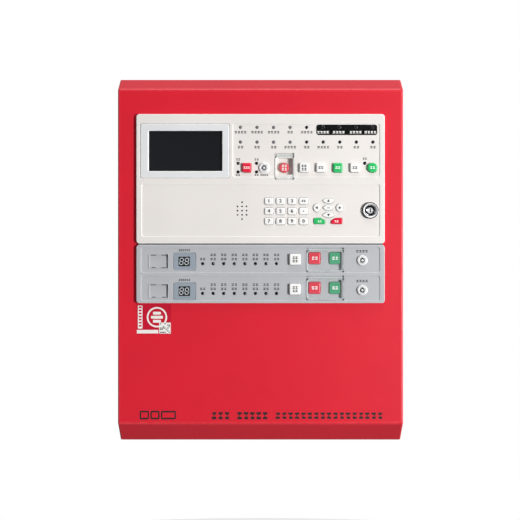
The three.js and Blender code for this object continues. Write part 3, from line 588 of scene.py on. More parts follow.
# Share of an arrow key's height, or width, that lies below, or left of, its almond's long axis
AXIS_SHARE = {"nav_up": 4 / 7, "nav_centre": 0.5, "nav_down": 3 / 7.4,
              "nav_left": 4.6 / 9.6, "nav_right": 5 / 9.6}
ARROW_TURNS = {"nav_up": 0, "nav_left": 1, "nav_down": 2, "nav_right": 3}
# Blocks on a cap, by the last word of its name: how many, their width, height and gap
PLAIN_MARK = (2, 3.0, 3.2, 0.6)
CAP_MARKS = {"centre": (2, 1.3, 1.6, 0.4), "key": (2, 2.3, 2.5, 0.5), "page": (2, 2.4, 2.8, 0.5),
             "start": (2, 3.6, 4.0, 0.8), "stop": (2, 3.6, 4.0, 0.8), "red": (3, 2.4, 2.8, 0.5)}


def wedge_outline(area, mirrored):
    """A bar whose upper edge slopes down towards one end."""
    left, right, bottom, top = area
    points = [(left + 1.4, bottom), (right - 1.8, bottom), (right - 0.4, bottom + 0.5),
              (right, bottom + 1.8), (right - 0.6, top - 3.3), (left + 8.6, top - 0.1),
              (left + 1.4, top), (left + 0.4, top - 0.4), (left, top - 1.4), (left, bottom + 1.4),
              (left + 0.4, bottom + 0.4)]
    if mirrored:
        points = [(left + right - x, z) for x, z in reversed(points)]
    return points


def cap_outline(name):
    kind = BUTTONS[name][0]
    area = area_of(name)
    left, right, bottom, top = area
    x, z = middle(area)
    width, height = right - left, top - bottom
    if kind == "round":
        return circle(x, z, width / 2, 40)
    if kind in CAP_CORNERS:
        return rounded(*area, CAP_CORNERS[kind])
    if kind == "wedge":
        return wedge_outline(area, name == "cancel_key")
    share = AXIS_SHARE[name]
    if kind == "bow":
        outline = almond(width / 2, height * (1 - share), height * share)
        return [(px + x, pz + (bottom + height * share)) for px, pz in outline]
    outline = almond(height / 2, width * share, width * (1 - share))
    return [(left + width * share - pz, z + px) for px, pz in outline]


def cap_mark(piece, name, ink):
    """A digit, an arrow or a few blocks on a cap's face."""
    x, z = middle(area_of(name))
    front = depths_of(name)[0]
    last_word = name.split("_")[-1]
    if name in ARROW_TURNS:
        start = 90 + 90 * ARROW_TURNS[name]
        piece.slab("ink_dark", arc(x, z, 2.3, start, start + 240, 2), front - INK, front)
    elif last_word == "point":
        piece.disc(ink, x, z, 0.8, front - INK, front, sides=16)
    elif last_word.isdigit() and name.startswith("key_"):
        for nudge in (-0.16, 0.16):
            piece.text("ink_dark", last_word, x + nudge, z, front, 6.3)
    elif last_word == "silence" or name in ("guarded_button_red", "row_button_white_1"):
        for rise in (2.2, -2.2):
            piece.bars(ink, x, z + rise, front, 2, 3.0, 3.2, 0.7)
    else:
        drop = 0.6 if last_word == "key" else 0
        piece.bars(ink, x, z - drop, front, *CAP_MARKS.get(last_word, PLAIN_MARK))


def build_buttons():
    for name, (kind, (look, slot, ink)) in BUTTONS.items():
        front, back = depths_of(name)
        outline = cap_outline(name)
        piece = Piece(name)
        piece.slab(look, outline, front, back, CAP_EDGES[kind], support=0.25, steps=4)
        if front < TALL_CAP:
            piece.slab(look, offset(outline, 0.12), back - 0.2, back)
        cap_mark(piece, name, ink)
        piece.done(name, slot, name)


# ---- Fascias ----


def notched(area, corner, left, right, low):
    """A rounded rectangle with a rectangular tab hanging from its lower edge."""
    outline = rounded(*area, corner)
    bottom = area[2]
    tab = [(left, bottom), (left, low), (right, low), (right, bottom)]
    steps = len(outline) // 4
    return outline[-steps:] + tab + outline[:-steps]


def cap_holes(names):
    return [offset(cap_outline(name), -CAP_GAP) for name in names]


def led_holes(places):
    return [circle(x, z, LED_HOLE, 20) for x, z in places]


def flap_outline(recess, inset=0.0):
    """The clipped-corner outline of a clear flap, below its hinge bar."""
    left, right, bottom, top = grown(recess, -0.35 - inset)
    top = recess[3] - FLAP_AXIS_DROP - FLAP_BAR - inset
    clip = FLAP_CLIP
    return [(left + clip, bottom), (right - clip, bottom), (right, bottom + clip), (right, top - clip),
            (right - clip, top), (left + clip, top), (left, top - clip), (left, bottom + clip)]


def cover_tub(piece, look, recess, pocket, floor, cap_names):
    """The ledge a flap lies on, the floor of its recess, and the pocket its buttons stand in."""
    mouth = [rounded(*pocket, 1.0)]
    around, step = grown(recess, 1.2), COVER_FLOOR + 1.2
    piece.slab(look, flap_outline(recess), FLAP_LEDGE, COVER_FLOOR, 0.3, holes=mouth, hole_edge=0.3)
    piece.plate(look, around, COVER_FLOOR, step, holes=mouth, hole_edge=0.3)
    piece.plate(look, around, PANEL_FLOOR + 0.3, COVER_FLOOR, holes=[rounded(*recess, 0.4)])
    around = grown(pocket, 1.1)
    piece.plate(look, around, step, floor, 0, 1.5, holes=mouth)
    piece.plate(look, around, floor, floor + 1.2, 0, 1.5, holes=cap_holes(cap_names), hole_edge=0.25,
                support=0.2)


def bosses(piece, look, places):
    """Bosses behind a fascia for the screws that hold its board."""
    for x, z in places:
        piece.disc(look, x, z, 3, FASCIA_BACK, BOARD_FRONT - 0.3, sides=20, bore=circle(x, z, 1.2, 12))


def build_main_fascia():
    piece = Piece("main_fascia")
    outline = rounded(*area_of("main_fascia"), 4.0)
    tab_left, tab_right, tab_bottom, _ = MAIN_COVER
    wells = [notched(UPPER_PANEL, 3, tab_left, tab_right, tab_bottom), rounded(*LOWER_PANEL, 3),
             rounded(*DISPLAY_RECESS, 3)]
    piece.slab("ivory", outline, FASCIA_FRONT, FASCIA_BACK, 0.7, holes=wells, hole_edge=0.5)
    holes = [rounded(*MAIN_COVER, 0.4), rounded(*DISPLAY_RECESS, 3), circle(*LOCK, 9.7, 40),
             circle(*MAIN_SWITCH, SWITCH_HOLE, 32)]
    holes += led_holes(MAIN_LEDS) + cap_holes(MAIN_CAPS)
    holes += [circle(x, z, 1.15, 14) for x, z in GRILLE_HOLES]
    piece.slab("ivory", offset(outline, 2), PANEL_FLOOR, FASCIA_BACK - 0.05, holes=holes,
               hole_edge=0.25, support=0.15)
    piece.plate("ivory", grown(DISPLAY_RECESS, 1.0), -1.4, FASCIA_BACK,
                holes=[rounded(*DISPLAY_APERTURE)])
    cover_tub(piece, "ivory", MAIN_COVER, MAIN_POCKET, MAIN_POCKET_FLOOR, ["guarded_button_red"])
    bosses(piece, "ivory", MAIN_BOSSES)
    piece.done("door", "ivory_plastic", "main_fascia")


def build_zone_fascia():
    piece = Piece("zone_fascia")
    left, right, bottom, _ = area_of("zone_fascia")
    top = 20.2
    outline = rounded(left, right, bottom, top, 4.0)
    strips = [rounded(*lifted(ZONE_STRIP, zone["frame"]), 3.2) for zone in ZONES]
    piece.slab("grey", outline, FASCIA_FRONT, FASCIA_BACK, 0.7, holes=strips, hole_edge=0.5)
    holes = []
    for zone, switch in zip(ZONES, ZONE_SWITCHES):
        rise = zone["controls"]
        cover, pocket = [lifted(area, zone["frame"]) for area in (ZONE_COVER, ZONE_POCKET)]
        holes += led_holes((x, ZONE_LED_HEIGHT + rise) for x in ZONE_LEDS)
        holes += [rounded(*cover, 0.4), circle(*switch, SWITCH_HOLE, 32),
                  rounded(*lifted(grown(DIGIT_PLATE, 0.5), rise), 2.8),
                  rounded(*lifted(LABEL_HOLDER, rise), 1.2)]
        holes += cap_holes([zone["name"] + "_silence"])
        caps = [zone["name"] + "_start", zone["name"] + "_stop"]
        cover_tub(piece, "grey", cover, pocket, ZONE_POCKET_FLOOR, caps)
    piece.slab("grey", offset(outline, 2), PANEL_FLOOR, FASCIA_BACK - 0.05, holes=holes,
               hole_edge=0.25, support=0.15)
    # A strip under the gap between the fascias, coloured darker than the fascia as painted shade in the
    # gap.
    piece.plate("shaded_gap_strip", (left + 2.5, right - 2.5, top - 1, top + 1.9), -2.4, FASCIA_BACK, 0.2)
    bosses(piece, "grey", ZONE_BOSSES)
    piece.done("door", "grey_plastic", "zone_fascia")


def lens(piece, x, z, look="lens_dark"):
    """An indicator's domed lens."""
    r = LED_HOLE - 0.2
    front = PANEL_FLOOR - 0.5
    piece.turned(look, x, z, [(0, front), (r * 0.5, front + 0.1), (r * 0.85, front + 0.38),
                              (r, front + 0.8), (r, 5.0)], 20)


def build_indicators():
    piece = Piece("main_indicators")
    for x, z in MAIN_LEDS:
        lens(piece, x, z, "lens_painted_reflection" if (x, z) in REFLECTING_LEDS else "lens_dark")
    piece.done("door", "display_glass")
    for zone in ZONES:
        piece = Piece(zone["name"] + "_indicators")
        for x in ZONE_LEDS:
            lens(piece, x, ZONE_LED_HEIGHT + zone["controls"])
        piece.done("door", "display_glass")


def build_main_legends():
    """Generic marks in the places of printed words, and the dark strip behind four of them."""
    piece = Piece("main_legends")
    holes = [circle(x, LED_ROWS[0], LED_HOLE + 0.05, 20) for x in LED_COLUMNS[STRIP_START:]]
    piece.plate("border_black", LEGEND_STRIP, INK_PLANE - 0.04, INK_PLANE, 0, 3.3, holes=holes)
    for column, x in enumerate(LED_COLUMNS):
        if column < STRIP_START:
            piece.bars("ink", x, UPPER_WORDS, INK_PLANE, 2 if column == 3 else 4)
        else:
            shift = STRIP_SHIFTS[column - STRIP_START]
            piece.bars("ink_white", x - shift, UPPER_WORDS, INK_PLANE - 0.05, 4)
        piece.bars("ink", x, LOWER_WORDS, INK_PLANE, 4 if column in (3, 5) else 2)
    for x in (-30, -5.4):
        piece.bars("ink", x, 133.6, INK_PLANE, 2, 2.4, 2.6, 0.6)
        piece.bars("ink", x, KEY_WORDS, INK_PLANE, 2, 2.4, 2.4, 0.6)
    piece.bars("ink", MAIN_SWITCH[0], KEY_WORDS, INK_PLANE, 4, 2.2, 2.4, 0.5)
    piece.bars("ink", LONE_LED[0], 134.6, INK_PLANE, 2, 2.4, 2.6, 0.6)
    piece.done("door", "ivory_plastic")


def build_zone_legends(zone):
    rise = zone["controls"]
    piece = Piece(zone["name"] + "_legends")
    piece.bars("ink", -101.3, 12.9 + rise, INK_PLANE, 6, 2.2, 2.6, 0.4)
    for column, x in enumerate(ZONE_LEDS):
        for height in (6.8, 1.2) if column else (1.2,):
            piece.bars("ink", x, height + rise, INK_PLANE, 2)
    piece.bars("ink", 134.6, 11.6 + rise, INK_PLANE, 4)
    piece.done("door", "grey_plastic")


def figure_eight(piece, x, z, depth):
    """The seven bars of one display digit, leaning a little to the right."""
    width, height, stroke, corner = 4.4, 8.4, 0.9, 0.35
    for across, up in ((0, 1), (0, 0), (0, -1), (-1, 0.5), (1, 0.5), (-1, -0.5), (1, -0.5)):
        size = (stroke, height / 2 - stroke * 1.1) if across else (width - stroke * 1.2, stroke)
        centre = (x + across * width / 2 + up * 0.5, z + up * height / 2)
        piece.block("segment", *centre, *size, depth - 0.04, depth, 0, corner)


def build_zone_plates(zone):
    """The digit bezel and the label holder of one strip."""
    rise = zone["controls"]
    piece = Piece(zone["name"] + "_digit_bezel")
    window = rounded(*lifted(grown(DIGITS, 0.4), rise), 0.5)
    piece.plate("smoke_blue", lifted(DIGIT_PLATE, rise), PANEL_FLOOR + 0.7, -1.0, 0.5, 2.4,
                holes=[window], hole_edge=0.3)
    piece.plate("grey", lifted(grown(DIGIT_PLATE, 1.5), rise), -1.0, FASCIA_BACK,
                holes=[rounded(*lifted(grown(DIGITS, 0.5), rise))])
    piece.done("door", "grey_plastic")
    piece = Piece(zone["name"] + "_label_holder")
    holder = lifted(LABEL_HOLDER, rise)
    sunk = grown(holder, -0.9)
    piece.plate("grey", holder, PANEL_FLOOR - 0.5, -0.7, 0.4, 1.2, holes=[rounded(*sunk, 0.6)],
                hole_edge=0.3, support=0.2)
    piece.plate("card", grown(sunk, 0.4), -1.4, -0.6)
    # The snap slots are near-black blocks: painted shade in the openings.
    for across, up, width in LABEL_SLOTS:
        piece.block("painted_slot_shade", holder[0] + across, holder[2] + up, width, 0.9, -1.45, -1.3)
    piece.done("door", "grey_plastic")


# ---- Display, covers, switches and lock ----


def build_display():
    piece = Piece("display_bezel")
    # The screen opening's wide rounded edge takes the near-white edge tint: a painted highlight.
    piece.plate("bezel", area_of("display_bezel"), *depths_of("display_bezel"), 1.0, 3.0,
                holes=[rounded(*VISIBLE_SCREEN, 1.0)], hole_edge=1.3)
    piece.done("door", "bezel_plastic", "display_bezel")
    front, back = depths_of("display_window")
    piece = Piece("display_window")
    piece.plate("glass_black", area_of("display_window"), front, back, 0.15, 1.0)
    piece.plate("border_black", grown(VISIBLE_SCREEN, 0.4), front - 0.06, front,
                holes=[rounded(*grown(VISIBLE_SCREEN, -1.2), 0.5)])
    piece.done("door", "display_glass", "display_window")
    front, back = depths_of("display_module")
    area = area_of("display_module")
    piece = Piece("display_module")
    piece.plate("brushed", area, front, back - 2.2, 0.2, 0.8, back_edge=0.3)
    piece.plate("board", grown(area, -3), back - 2.2, back - 0.6)
    for x in (area[0] + 5, area[1] - 5):
        for z in (area[2] + 5, area[3] - 5):
            piece.screw(x, z, back - 0.6, 1.6, outward=1)
    x, z = middle(area)
    piece.block("black_plastic", x + 24, z - 8, 18, 5, back - 0.7, back, 0.2)
    piece.block("black_plastic", x - 18, z + 6, 9, 9, back - 0.7, back - 0.1, 0.2)
    piece.done("door", "zinc_steel", "display_module")


def build_cover(node, recess):
    """A clear flap with a moulded rim, hung on a round bar between two pins."""
    left, right, bottom, _ = grown(recess, -0.35)
    front = FLAP_DEPTH - FLAP_BAR
    piece = Piece(node)
    piece.slab("clear", flap_outline(recess), front, front + 1.0, 0.3, 0.15, support=0.2)
    piece.slab("clear_rim", flap_outline(recess, -0.02), front - 0.1, front + 1.1, 0.2,
               holes=[flap_outline(recess, 0.8)], hole_edge=0.1, support=0.1)
    piece.block("clear_rim", (left + right) / 2, bottom + 1.9, (right - left) * 0.34, 1.1,
                front - 0.35, front, 0.2, 0.5, support=0.1)
    piece.at(left + FLAP_CLIP, FLAP_DEPTH, recess[3] - FLAP_AXIS_DROP, FACING_RIGHT)
    length = right - left - 2 * FLAP_CLIP
    bar = [(0, -length), (FLAP_BAR - 0.3, -length), (FLAP_BAR, -length + 0.3), (FLAP_BAR, -0.3),
           (FLAP_BAR - 0.3, 0), (0, 0)]
    piece.turned("clear_rim", 0, 0, bar, 24)
    reach = FLAP_CLIP + 1.35
    for start in (0.1, -length - reach + 0.1):
        pin = [(0, start), (0.75, start), (0.9, start + 0.15), (0.9, start + reach - 0.2),
               (0, start + reach - 0.2)]
        piece.turned("clear_rim", 0, 0, pin, 16)
    piece.done(node, "clear_cover", node)


def switch_body(piece, x, z):
    """The collar, lightened as a painted reflection, and the barrel of a key switch."""
    bore = circle(x, z, 3.8, 28)
    piece.disc("satin", x, z, 6.9, -5.2, -3.5, 1.0, bore=bore, hole_edge=0.3, support=0.15)
    piece.disc("zinc", x, z, 5.5, -3.5, BOARD_FRONT, sides=32, bore=bore)


def build_switch_plug(node):
    """A tubular key's plug: a ring-shaped keyway about a post, and a notch above it."""
    x, z = middle(area_of(node))
    front, back = depths_of(node)
    piece = Piece(node)
    piece.disc("satin", x, z, 3.5, front, front + 2.5, 0.25, bore=circle(x, z, 3, 36),
               hole_edge=0.12, support=0.1)
    piece.disc("satin", x, z, 1.6, front, front + 2.5, 0.25, 28, support=0.1)
    # The plug body behind the keyway is chrome darkened as painted shade.
    piece.disc("shaded_chrome", x, z, 3.5, front + 2.4, back)
    # The notch is a near-black block: painted shade.
    piece.block("painted_slot_shade", x, z + 3.2, 0.9, 0.8, front - 0.03, front + 0.3)
    piece.done(node, "bright_metal", node)


def build_lock():
    """The bezel, with its rim in chrome darkened as painted shade and its sloping ring lightened as a
    painted reflection, then the threaded barrel and nut.
    """
    x, z = LOCK
    front, back = depths_of("lock_body")
    bore, inner = circle(x, z, 7.3, 40), circle(x, z, 8.6, 40)
    piece = Piece("lock_body")
    piece.disc("shaded_chrome", x, z, 11, front + 0.5, front + 1.4, 0.5, 56, circle(x, z, 9.4, 48),
               support=0.1)
    piece.turned("satin", x, z, [(7.4, front + 1.5), (8.0, front + 0.9), (9.0, front), (9.5, front),
                                 (9.8, front + 0.4), (9.8, front + 1.5)], 56)
    piece.disc("chrome", x, z, 10.9, front + 1.4, -3.5, sides=56, bore=bore)
    piece.disc("zinc", x, z, 8.7, -3.5, back, bore=bore, back_edge=0.4)
    for turn in range(16):
        depth = 2.2 + turn
        piece.disc("zinc", x, z, 9.15, depth, depth + 0.5, 0.2, bore=inner, back_edge=0.2,
                   support=0.02, steps=1)
    piece.disc("zinc", x, z, 12.6, 3.2, 7.4, 0.5, 6, inner, back_edge=0.5)
    piece.disc("zinc", x, z, 13.4, 2.0, 3.1, 0.2, bore=inner)
    piece.done("door", "bright_metal", "lock_body")


def build_lock_plug():
    """A dished plug face about a raised ring, with the key slot in the middle."""
    x, z = LOCK
    front, back = depths_of("lock_plug")
    piece = Piece("lock_plug")
    piece.turned("chrome", x, z, [(3.4, front + 0.9), (3.7, front + 0.2), (4.3, front),
                                  (5.0, front + 0.7), (6.0, front + 0.8), (6.5, front + 0.1),
                                  (6.9, front + 0.3), (6.9, front + 2.4), (3.4, front + 2.4)], 48)
    piece.disc("satin", x, z, 3.5, front + 0.5, front + 2.5, 0.1, 32, centred(x, z, 1.4, 5.6, 0.6),
               hole_edge=0.15, support=0.1)
    piece.disc("chrome", x, z, 6.9, front + 2.4, back)
    # A black block deep in the key slot: painted shade in the keyway.
    piece.block("border_black", x, z, 1.3, 5.4, front + 1.4, front + 2.3, 0, 0.5)
    piece.done("lock", "bright_metal", "lock_plug")


def build_lock_cam():
    x, z = LOCK
    front, back = depths_of("lock_cam")
    piece = Piece("lock_cam")
    piece.slab("zinc", rounded(*area_of("lock_cam"), 6.0, 8), front, back, 0.3, 0.3)
    piece.turned("zinc", x, z, [(6.0, back - 0.2), (6.0, back + 0.1), (0, back + 0.1)], 6)
    piece.done("lock", "zinc_steel", "lock_cam")


# ---- Circuit boards ----

PARTS = random.Random(11)
KEY_BOARD_AREAS = ((-38, 156, 105.5, 187), (2, 118, 34, 105.5))
KEY_BOARD_SCREWS = ((-34, 184), (70, 184), (152, 184), (-34, 108), (6, 38), (112, 38))
ZONE_BOARD_AREA = (-122, 155, -53.5, 16)
MAIN_BOARD_AREA = (-150, 66, -40, 196)
MOUNTING_FACE, STANDOFF, BOARD_SHEET = -12.3, 8, 1.6
# Cans on the main board: x, z, radius and height, then circuits: x, z, width and height
CANS = ((-10, 50, 8, 18), (12, 50, 8, 18), (34, 50, 6.5, 15), (-128, 130, 6.5, 15),
        (-112, 130, 6.5, 15), (50, 140, 5, 12), (-132, 30, 5, 12), (-132, 12, 5, 12))
CHIPS = ((-100, 40, 20, 8), (-100, 22, 20, 8), (-60, 30, 16, 16), (-20, 140, 26, 10),
         (20, 150, 14, 14), (-70, 135, 22, 9), (30, 10, 24, 8), (-20, 5, 14, 14))
SMALL_PARTS = [(2.0, 1.2, 0.6), (3.2, 1.6, 0.8), (1.2, 2.0, 0.6), (6.0, 4.0, 1.3), (9.0, 6.2, 1.4)]


def around(x, z, half_width, half_height):
    return (x - half_width, x + half_width, z - half_height, z + half_height)


def chip(piece, x, z, width, height, depth, outward, thick):
    """A packaged circuit with legs along its two long sides, standing on a board face."""
    edges = (0.2, 0.0) if outward < 0 else (0.0, 0.2)
    piece.slab("black_plastic", centred(x, z, width, height, 0.3), *span(depth, outward, thick),
               *edges, support=0.1, steps=1)
    legs = int(width / 1.6)
    for side in (-1, 1):
        for i in range(legs):
            lx = x - width / 2 + width * (i + 0.5) / legs
            piece.block("zinc", lx, z + side * (height / 2 + 0.5), 0.55, 1.0,
                        *span(depth, outward, thick * 0.4))


def capacitor(piece, x, z, radius, depth, outward, tall):
    """An upright can with a rolled rim and a light top."""
    far = depth + outward * tall
    rim = [(0, far), (radius * 0.82, far), (radius, far - outward * 0.5),
           (radius, depth + outward * 1.4), (radius * 0.9, depth + outward * 1.0),
           (radius, depth + outward * 0.6), (radius, depth)]
    piece.turned("black_plastic", x, z, rim if outward < 0 else rim[::-1], 20)
    near, far = sorted((far + outward * 0.05, far - outward * 0.1))
    piece.disc("zinc", x, z, radius * 0.78, near, far, sides=20)


def scatter(piece, area, depth, outward, count, clear=()):
    """Small resistors, capacitors and chips over a board, away from what is already there."""
    taken = list(clear)
    left, right, bottom, top = grown(area, -4)
    for _ in range(count):
        width, height, tall = PARTS.choice(SMALL_PARTS)
        x, z = PARTS.uniform(left, right), PARTS.uniform(bottom, top)
        box = around(x, z, width, height)
        if any(box[0] < b[1] and box[1] > b[0] and box[2] < b[3] and box[3] > b[2] for b in taken):
            continue
        taken.append(box)
        if width > 5:
            chip(piece, x, z, width, height, depth, outward, tall)
            continue
        near, far = span(depth, outward, tall)
        look = PARTS.choice(["black_plastic", "brass", "card", "relay"])
        piece.block(look, x, z, width * 0.6, height, near, far)
        for side in (-1, 1):
            piece.block("zinc", x + side * width * 0.4, z, width * 0.2, height, near, far)


def traces(piece, area, depth, outward, count):
    """Copper runs under the mask: long straight tracks with a jog."""
    left, right, bottom, top = grown(area, -3)
    near, far = span(depth, outward, 0.05)
    for _ in range(count):
        x, z = PARTS.uniform(left, right - 12), PARTS.uniform(bottom, top)
        length = min(PARTS.uniform(10, 60), right - x)
        piece.plate("trace", (x, x + length, z, z + 0.5), near, far)
        rise = min(PARTS.uniform(3, 18), top - z)
        if rise > 1:
            piece.plate("trace", (x + length - 0.5, x + length, z, z + rise), near, far)


def door_board(piece, area, track_count, part_count):
    """A board behind a fascia, with its parts on the side that faces the cabinet."""
    piece.plate("board", area, BOARD_FRONT, BOARD_BACK, back_edge=0.15)
    traces(piece, area, BOARD_BACK, 1, track_count)
    scatter(piece, area, BOARD_BACK, 1, part_count)


def build_key_board():
    piece = Piece("key_board")
    for area in KEY_BOARD_AREAS:
        door_board(piece, area, 30, 50)
    switch_body(piece, *MAIN_SWITCH)
    for x, z in KEY_BOARD_SCREWS:
        piece.screw(x, z, BOARD_BACK, 2.4, outward=1)
    piece.done("door", "circuit_board", "key_board")


def build_zone_board():
    piece = Piece("zone_board")
    door_board(piece, ZONE_BOARD_AREA, 40, 70)
    for zone, switch in zip(ZONES, ZONE_SWITCHES):
        window = lifted(DIGITS, zone["controls"])
        piece.plate("glass_black", window, PANEL_FLOOR, BOARD_FRONT, 0.1, 0.3, support=0.1)
        x, z = middle(window)
        for side in (-1, 1):
            figure_eight(piece, x + side * 3.5 - 0.2, z, PANEL_FLOOR)
        switch_body(piece, *switch)
    for x, z in ZONE_BOSSES:
        piece.screw(x, z, BOARD_BACK, 2.4, outward=1)
    piece.done("door", "circuit_board", "zone_board")


def build_speaker():
    piece = Piece("speaker")
    basket = [(0, 6.6), (8, 6.2), (17.2, 0.2), (19.6, 0), (20, 0.3), (20, 1.8), (18.6, 2.2), (13.2, 6.8),
              (11, 7), (11, 12.6), (10.6, 13), (0, 13)]
    cone = [(0, 4.2), (4, 4.4), (5.5, 5.0), (14.5, 1.2), (15.5, 0.6), (16.6, 0.4), (17.2, 0.8),
            (17.2, 1.6), (5.5, 5.8), (0, 5.6)]
    for look, profile in (("zinc", basket), ("cone_paper", cone)):
        piece.turned(look, *GRILLE, profile, 40)
    piece.done("door", "zinc_steel", "speaker")


# ---- Door tray ----

HINGE_X, HINGE_RADIUS, PIN_RADIUS, PIN_BORE, KNUCKLE = -189.5, 4.5, 2.4, 2.7, 26
HINGE_PINS = {"upper_hinge_pin": 150, "lower_hinge_pin": -150}
HINGE_DEPTH = (cad("upper_hinge_pin")[2] + cad("upper_hinge_pin")[3]) / 2
DOOR_HALF_WIDTH = cad("door_panel")[1]
DOOR_REAR = 41
TOP_BEVEL_RISE, TOP_BEVEL_RUN = 16.9, 27
FOOT_BEVEL_RISE, FOOT_BEVEL_RUN = 26.1, 31


def knuckle(piece, centre, low, high):
    """A rolled tube about the hinge pin, between two heights from the hinge's centre."""
    piece.at(HINGE_X, HINGE_DEPTH - piece.plane, centre, FACING_UP)
    piece.disc("red_paint", 0, 0, HINGE_RADIUS, low, high, 0.4, 32, circle(0, 0, PIN_BORE, 24),
               back_edge=0.4, support=0.2)
    piece.at()


def build_door():
    _, _, bottom, top = area_of("door_panel")
    profile = [(0, bottom + FOOT_BEVEL_RISE), (FOOT_BEVEL_RUN, bottom), (DOOR_REAR, bottom),
               (DOOR_REAR, top), (TOP_BEVEL_RUN, top), (0, top - TOP_BEVEL_RISE)]
    piece = Piece("door_panel")
    main_hole = [(-157, 28), (120, 28), (120, 104), (157, 104), (157, 190), (-157, 190)]
    holes = [main_hole, rounded(-157, 157, -55.2, 18.2), circle(*LOCK, 9.7, 32)]
    piece.folded_shell(profile, -DOOR_HALF_WIDTH, DOOR_HALF_WIDTH, holes, None)
    for centre in HINGE_PINS.values():
        knuckle(piece, centre, 0.4, KNUCKLE)
    piece.done("door", "red_paint", "door_panel")


def build_hinge_pins():
    reach, radius = KNUCKLE - 2, PIN_RADIUS
    for name, centre in HINGE_PINS.items():
        piece = Piece(name, WALL_PLANE).at(HINGE_X, HINGE_DEPTH, centre, FACING_UP)
        piece.turned("zinc", 0, 0, [(0, -reach), (radius - 0.6, -reach), (radius, -reach + 0.6),
                                    (radius, reach - 0.6), (radius - 0.6, reach), (0, reach)], 28)
        piece.done("cabinet", "zinc_steel", name)


LABEL_FILM = -0.1
LABEL_FIELD = (-164.6, -119.1, -98.4, -57.9)
LABEL_COLUMN = (-163.3, -157.2, -91.3, -60.6)
LABEL_STRIP = (-164.6, -136.0, -97.8, -93.0)
LABEL_SQUARE = (-134.9, -119.6, -97.9, -83.4)
LABEL_RING = (-137.9, -76.2)
LABEL_DOTS, DOT_PITCH, DOT = 7, 1.9, 1.5
PRINT_BOXES = ((-160.9, -148.5), (-146.6, -134.5), (-132.6, -112.6))
PRINT_LINE, PRINT_START, PRINT_LENGTH = -207.3, -62, 221


def build_door_label():
    """A sticker with a plain ring about three bars, two white strips and a scatter of squares."""
    film, raised = LABEL_FILM, LABEL_FILM - 0.02
    piece = Piece("door_label")
    piece.plate("crimson_film", LABEL_FIELD, film, 0, 0, 0.8)
    piece.plate("white_film", LABEL_COLUMN, raised, film)
    x, z = LABEL_RING
    piece.disc("white_film", x, z, 13.6, raised, film, 0, 48, circle(x, z, 11.4, 48))
    for row, width in ((-1, 10.5), (0, 16), (1, 10.5)):
        piece.block("white_film", x, z + row * 5.4, width, 3.8, raised, film, 0, 1.0)
    piece.plate("white_film", LABEL_STRIP, raised, film)
    piece.plate("white_film", LABEL_SQUARE, film - 0.03, film)
    for row in range(LABEL_DOTS):
        for column in range(LABEL_DOTS):
            if PRINT.random() < 0.6:
                piece.block("ink_dark", -132.9 + column * DOT_PITCH, -96.3 + row * DOT_PITCH, DOT, DOT,
                            film - 0.05, film - 0.03)
    for row in range(LABEL_DOTS):
        piece.block("crimson_film", -160.2, -63.0 - row * 4.1, 3.6, 2.2, film - 0.04, raised)
    piece.done("door", "red_paint")


def build_door_print():
    """Outlined boxes and plain blocks in the places of the lower lines of print."""
    piece = Piece("door_print")
    for left, right in PRINT_BOXES:
        piece.plate("ink_dark", (left, right, -212.2, -200.8), -0.05, 0, 0, 2.0)
        piece.plate("red_paint", (left + 1.9, right - 1.9, -210.0, -203.0), -0.08, -0.05)
    places, first_word, spaces = 27, 9, (3, 9)
    for i in range(places):
        if i not in spaces:
            height = 9.6 if i < first_word else 8.4
            x = PRINT_START + i * (PRINT_LENGTH / (places - 1))
            piece.bars("ink_dark", x, PRINT_LINE, 0, 1, 6.2, height, 0)
    piece.done("door", "red_paint")


# ---- Cabinet ----

CABINET_HALF_WIDTH, CABINET_DEPTH = 190, 90
STRIKE_PLATE = (170, 181.1, 48, 84)
STRIKE_FRONT = -114.2


def keyhole_outline(x, z):
    """A round hole with a narrow slot rising from it."""
    radius, half, top = 5, 2.7, z + 13
    start = math.degrees(math.acos(half / radius))
    sweep = 180 + 2 * start
    return (arc(x, z, radius, 180 - start, 180 - start + sweep, 24) + [(x + half, top - half)]
            + arc(x, top - half, half, 30, 150, 4) + [(x - half, top - half)])


def build_back_box():
    piece = Piece("back_box", WALL_PLANE)
    half_width, half_height, depth, lip = CABINET_HALF_WIDTH, cad("back_box")[5], CABINET_DEPTH, 16.5
    profile = [(-depth, -half_height), (0, -half_height), (0, half_height), (-depth, half_height)]
    mouth = rounded(-half_width + lip, half_width - lip, -half_height + lip, half_height - lip, 1.0)
    keyholes = [keyhole_outline(x, z) for x in (-140, 140) for z in (-196, 190)]
    piece.folded_shell(profile, -half_width, half_width, [mouth], keyholes)
    for centre in HINGE_PINS.values():
        knuckle(piece, centre, -KNUCKLE, -0.4)
    piece.plate("zinc", STRIKE_PLATE, STRIKE_FRONT, STRIKE_FRONT + SHEET, 0.3, 1.5, back_edge=0.3)
    _, right, bottom, top = STRIKE_PLATE
    piece.plate("zinc", (right - SHEET, right, bottom, top), STRIKE_FRONT + 0.8, -depth + 0.6)
    seal = (-186.8, 186.8, -half_height + 3.2, half_height - 3.2)
    piece.plate("foam", seal, -depth - 1.6, -depth, 0.5, 3, holes=[rounded(*grown(seal, -4.3), 2)],
                hole_edge=0.5)
    for side in (-1, 1):
        facing = Matrix.Rotation(math.radians(90 * side), 4, "X")
        for x in (-110, -37, 37, 110):
            piece.at(x, -depth / 2, side * half_height, facing)
            for radius in (14, 10.5):
                piece.disc("red_paint", 0, 0, radius, -0.02, 0.22, bore=circle(0, 0, radius - 0.8, 40))
    piece.done("cabinet", "red_paint", "back_box")


